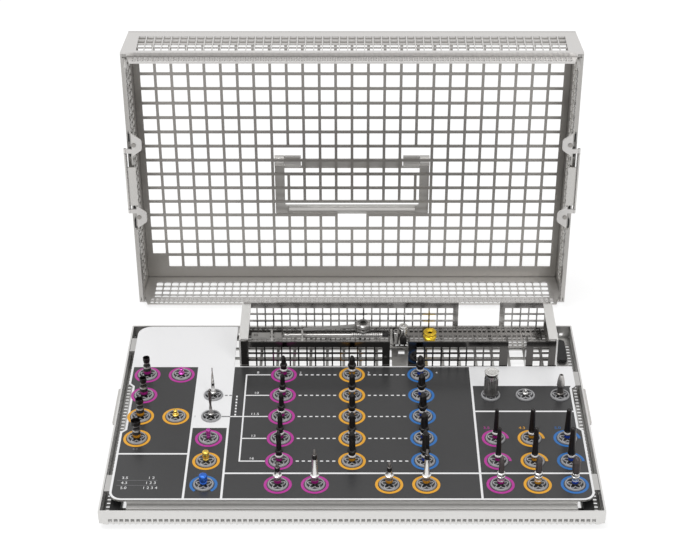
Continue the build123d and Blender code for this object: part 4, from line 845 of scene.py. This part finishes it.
GOLD_LOW, GOLD_HIGH = edges_of("gold_guide")
gold = Builder()
gx, gy = (GOLD_LOW[0] + GOLD_HIGH[0]) / 2, (GOLD_LOW[1] + GOLD_HIGH[1]) / 2
gold_r, gold_h = (GOLD_HIGH[0] - GOLD_LOW[0]) / 2, GOLD_HIGH[2] - GOLD_LOW[2]
rings = plain([(1.3, 0), (gold_r - 0.9, 0), (gold_r - 0.6, 0.3), (gold_r - 0.6, gold_h - 4.7)], yellow_metal)
rings += plain([(gold_r, gold_h - 4.2), (gold_r, gold_h - 3.5), (gold_r - 1.0, gold_h - 2.9)], yellow_metal)
rings += plain([(gold_r - 1.2, gold_h - 2.4), (gold_r - 1.0, gold_h - 1.9)], yellow_metal)
rings += plain([(gold_r - 0.1, gold_h - 1.3), (gold_r, gold_h - 1.0), (gold_r, gold_h - 0.4)], yellow_metal)
rings += plain([(gold_r - 0.35, gold_h), (2.3, gold_h), (1.6, gold_h - 0.7), (1.3, gold_h - 1.0)],
               yellow_metal)
rings += plain([(1.3, 0)], black_coat)
gold.lathe(gx, gy, GOLD_LOW[2] + SEAT, rings, around=48)
gold.object("gold_sleeve", "gold_guide", ["gold_guide"])


# Floor, light and camera


def link_nodes(tree, *pairs):
    for source, target in pairs:
        tree.links.new(source, target)


def seen_rays(tree):
    """1 for camera, glossy and transmission rays, which see the pale studio."""
    path = tree.nodes.new("ShaderNodeLightPath")
    total = path.outputs["Is Camera Ray"]
    for ray in ("Is Glossy Ray", "Is Transmission Ray"):
        most = tree.nodes.new("ShaderNodeMath")
        most.operation = "MAXIMUM"
        link_nodes(tree, (total, most.inputs[0]), (path.outputs[ray], most.inputs[1]))
        total = most.outputs["Value"]
    return total


world = bpy.data.worlds.new("studio")
bpy.context.scene.world = world
world.use_nodes = True
sky = world.node_tree
sky.nodes.clear()
pale = sky.nodes.new("ShaderNodeBackground")
pale.inputs["Strength"].default_value = 1.0
pale.inputs["Color"].default_value = (1, 1, 1, 1)
soft = sky.nodes.new("ShaderNodeBackground")
soft.inputs["Color"].default_value = (1, 1, 1, 1)
soft.inputs["Strength"].default_value = 0.55
sky_mix = sky.nodes.new("ShaderNodeMixShader")
sky_out = sky.nodes.new("ShaderNodeOutputWorld")
link_nodes(sky, (seen_rays(sky), sky_mix.inputs["Fac"]), (soft.outputs["Background"], sky_mix.inputs[1]),
           (pale.outputs["Background"], sky_mix.inputs[2]),
           (sky_mix.outputs["Shader"], sky_out.inputs["Surface"]))

TABLE_HALF = 3000
TABLE_CORNERS = [(-TABLE_HALF, -TABLE_HALF, 0), (TABLE_HALF, -TABLE_HALF, 0), (TABLE_HALF, TABLE_HALF, 0),
                 (-TABLE_HALF, TABLE_HALF, 0)]
floor_mesh = bpy.data.meshes.new("table_top")
floor_mesh.from_pydata([Vector(v) * MM for v in TABLE_CORNERS], [], [[0, 1, 2, 3]])
floor = bpy.data.objects.new("table_top", floor_mesh)
bpy.context.scene.collection.objects.link(floor)
paper = bpy.data.materials.new("table_paper")
paper.use_nodes = True
sheet = paper.node_tree
sheet.nodes.clear()
matt = sheet.nodes.new("ShaderNodeBsdfDiffuse")
matt.inputs["Color"].default_value = (0.3, 0.3, 0.3, 1)
glow = sheet.nodes.new("ShaderNodeEmission")
glow.inputs["Strength"].default_value = 0.78
both = sheet.nodes.new("ShaderNodeAddShader")
only = sheet.nodes.new("ShaderNodeMixShader")
paper_out = sheet.nodes.new("ShaderNodeOutputMaterial")
link_nodes(sheet, (matt.outputs["BSDF"], both.inputs[0]), (glow.outputs["Emission"], both.inputs[1]),
           (seen_rays(sheet), only.inputs["Fac"]), (matt.outputs["BSDF"], only.inputs[1]),
           (both.outputs["Shader"], only.inputs[2]), (only.outputs["Shader"], paper_out.inputs["Surface"]))
floor_mesh.materials.append(paper)


def lamp(name, place, target, size, power):
    data = bpy.data.lights.new(name, "AREA")
    data.shape = "DISK"
    data.size = size
    data.energy = power
    made = bpy.data.objects.new(name, data)
    made.location = place
    made.rotation_mode = "QUATERNION"
    made.rotation_quaternion = (Vector(place) - Vector(target)).to_track_quat("Z", "Y")
    bpy.context.scene.collection.objects.link(made)


lamp("top_light", (-0.35, -0.1, 1.5), (0, 0, 0), 1.0, 11.0)
lamp("front_light", (0.7, -1.3, 0.9), (0, 0.05, 0.05), 0.8, 6.0)

FOCAL, PHOTO_WIDTH, CENTRE_X, TILT_DOWN = 1725.0, 700.0, 352.0, 33.0
camera_data = bpy.data.cameras.new("camera")
camera_data.sensor_width = 36.0
camera_data.lens = FOCAL / PHOTO_WIDTH * 36.0
camera_data.shift_x = (PHOTO_WIDTH / 2 - CENTRE_X) / PHOTO_WIDTH
camera_data.clip_start = 0.05
camera_data.clip_end = 20.0
camera = bpy.data.objects.new("camera", camera_data)
camera.location = (0.0, -0.86515, 0.6411)
camera.rotation_euler = (math.radians(90 - TILT_DOWN), 0, 0)
bpy.context.scene.collection.objects.link(camera)
bpy.context.scene.camera = camera
bpy.context.scene.view_settings.view_transform = "Standard"
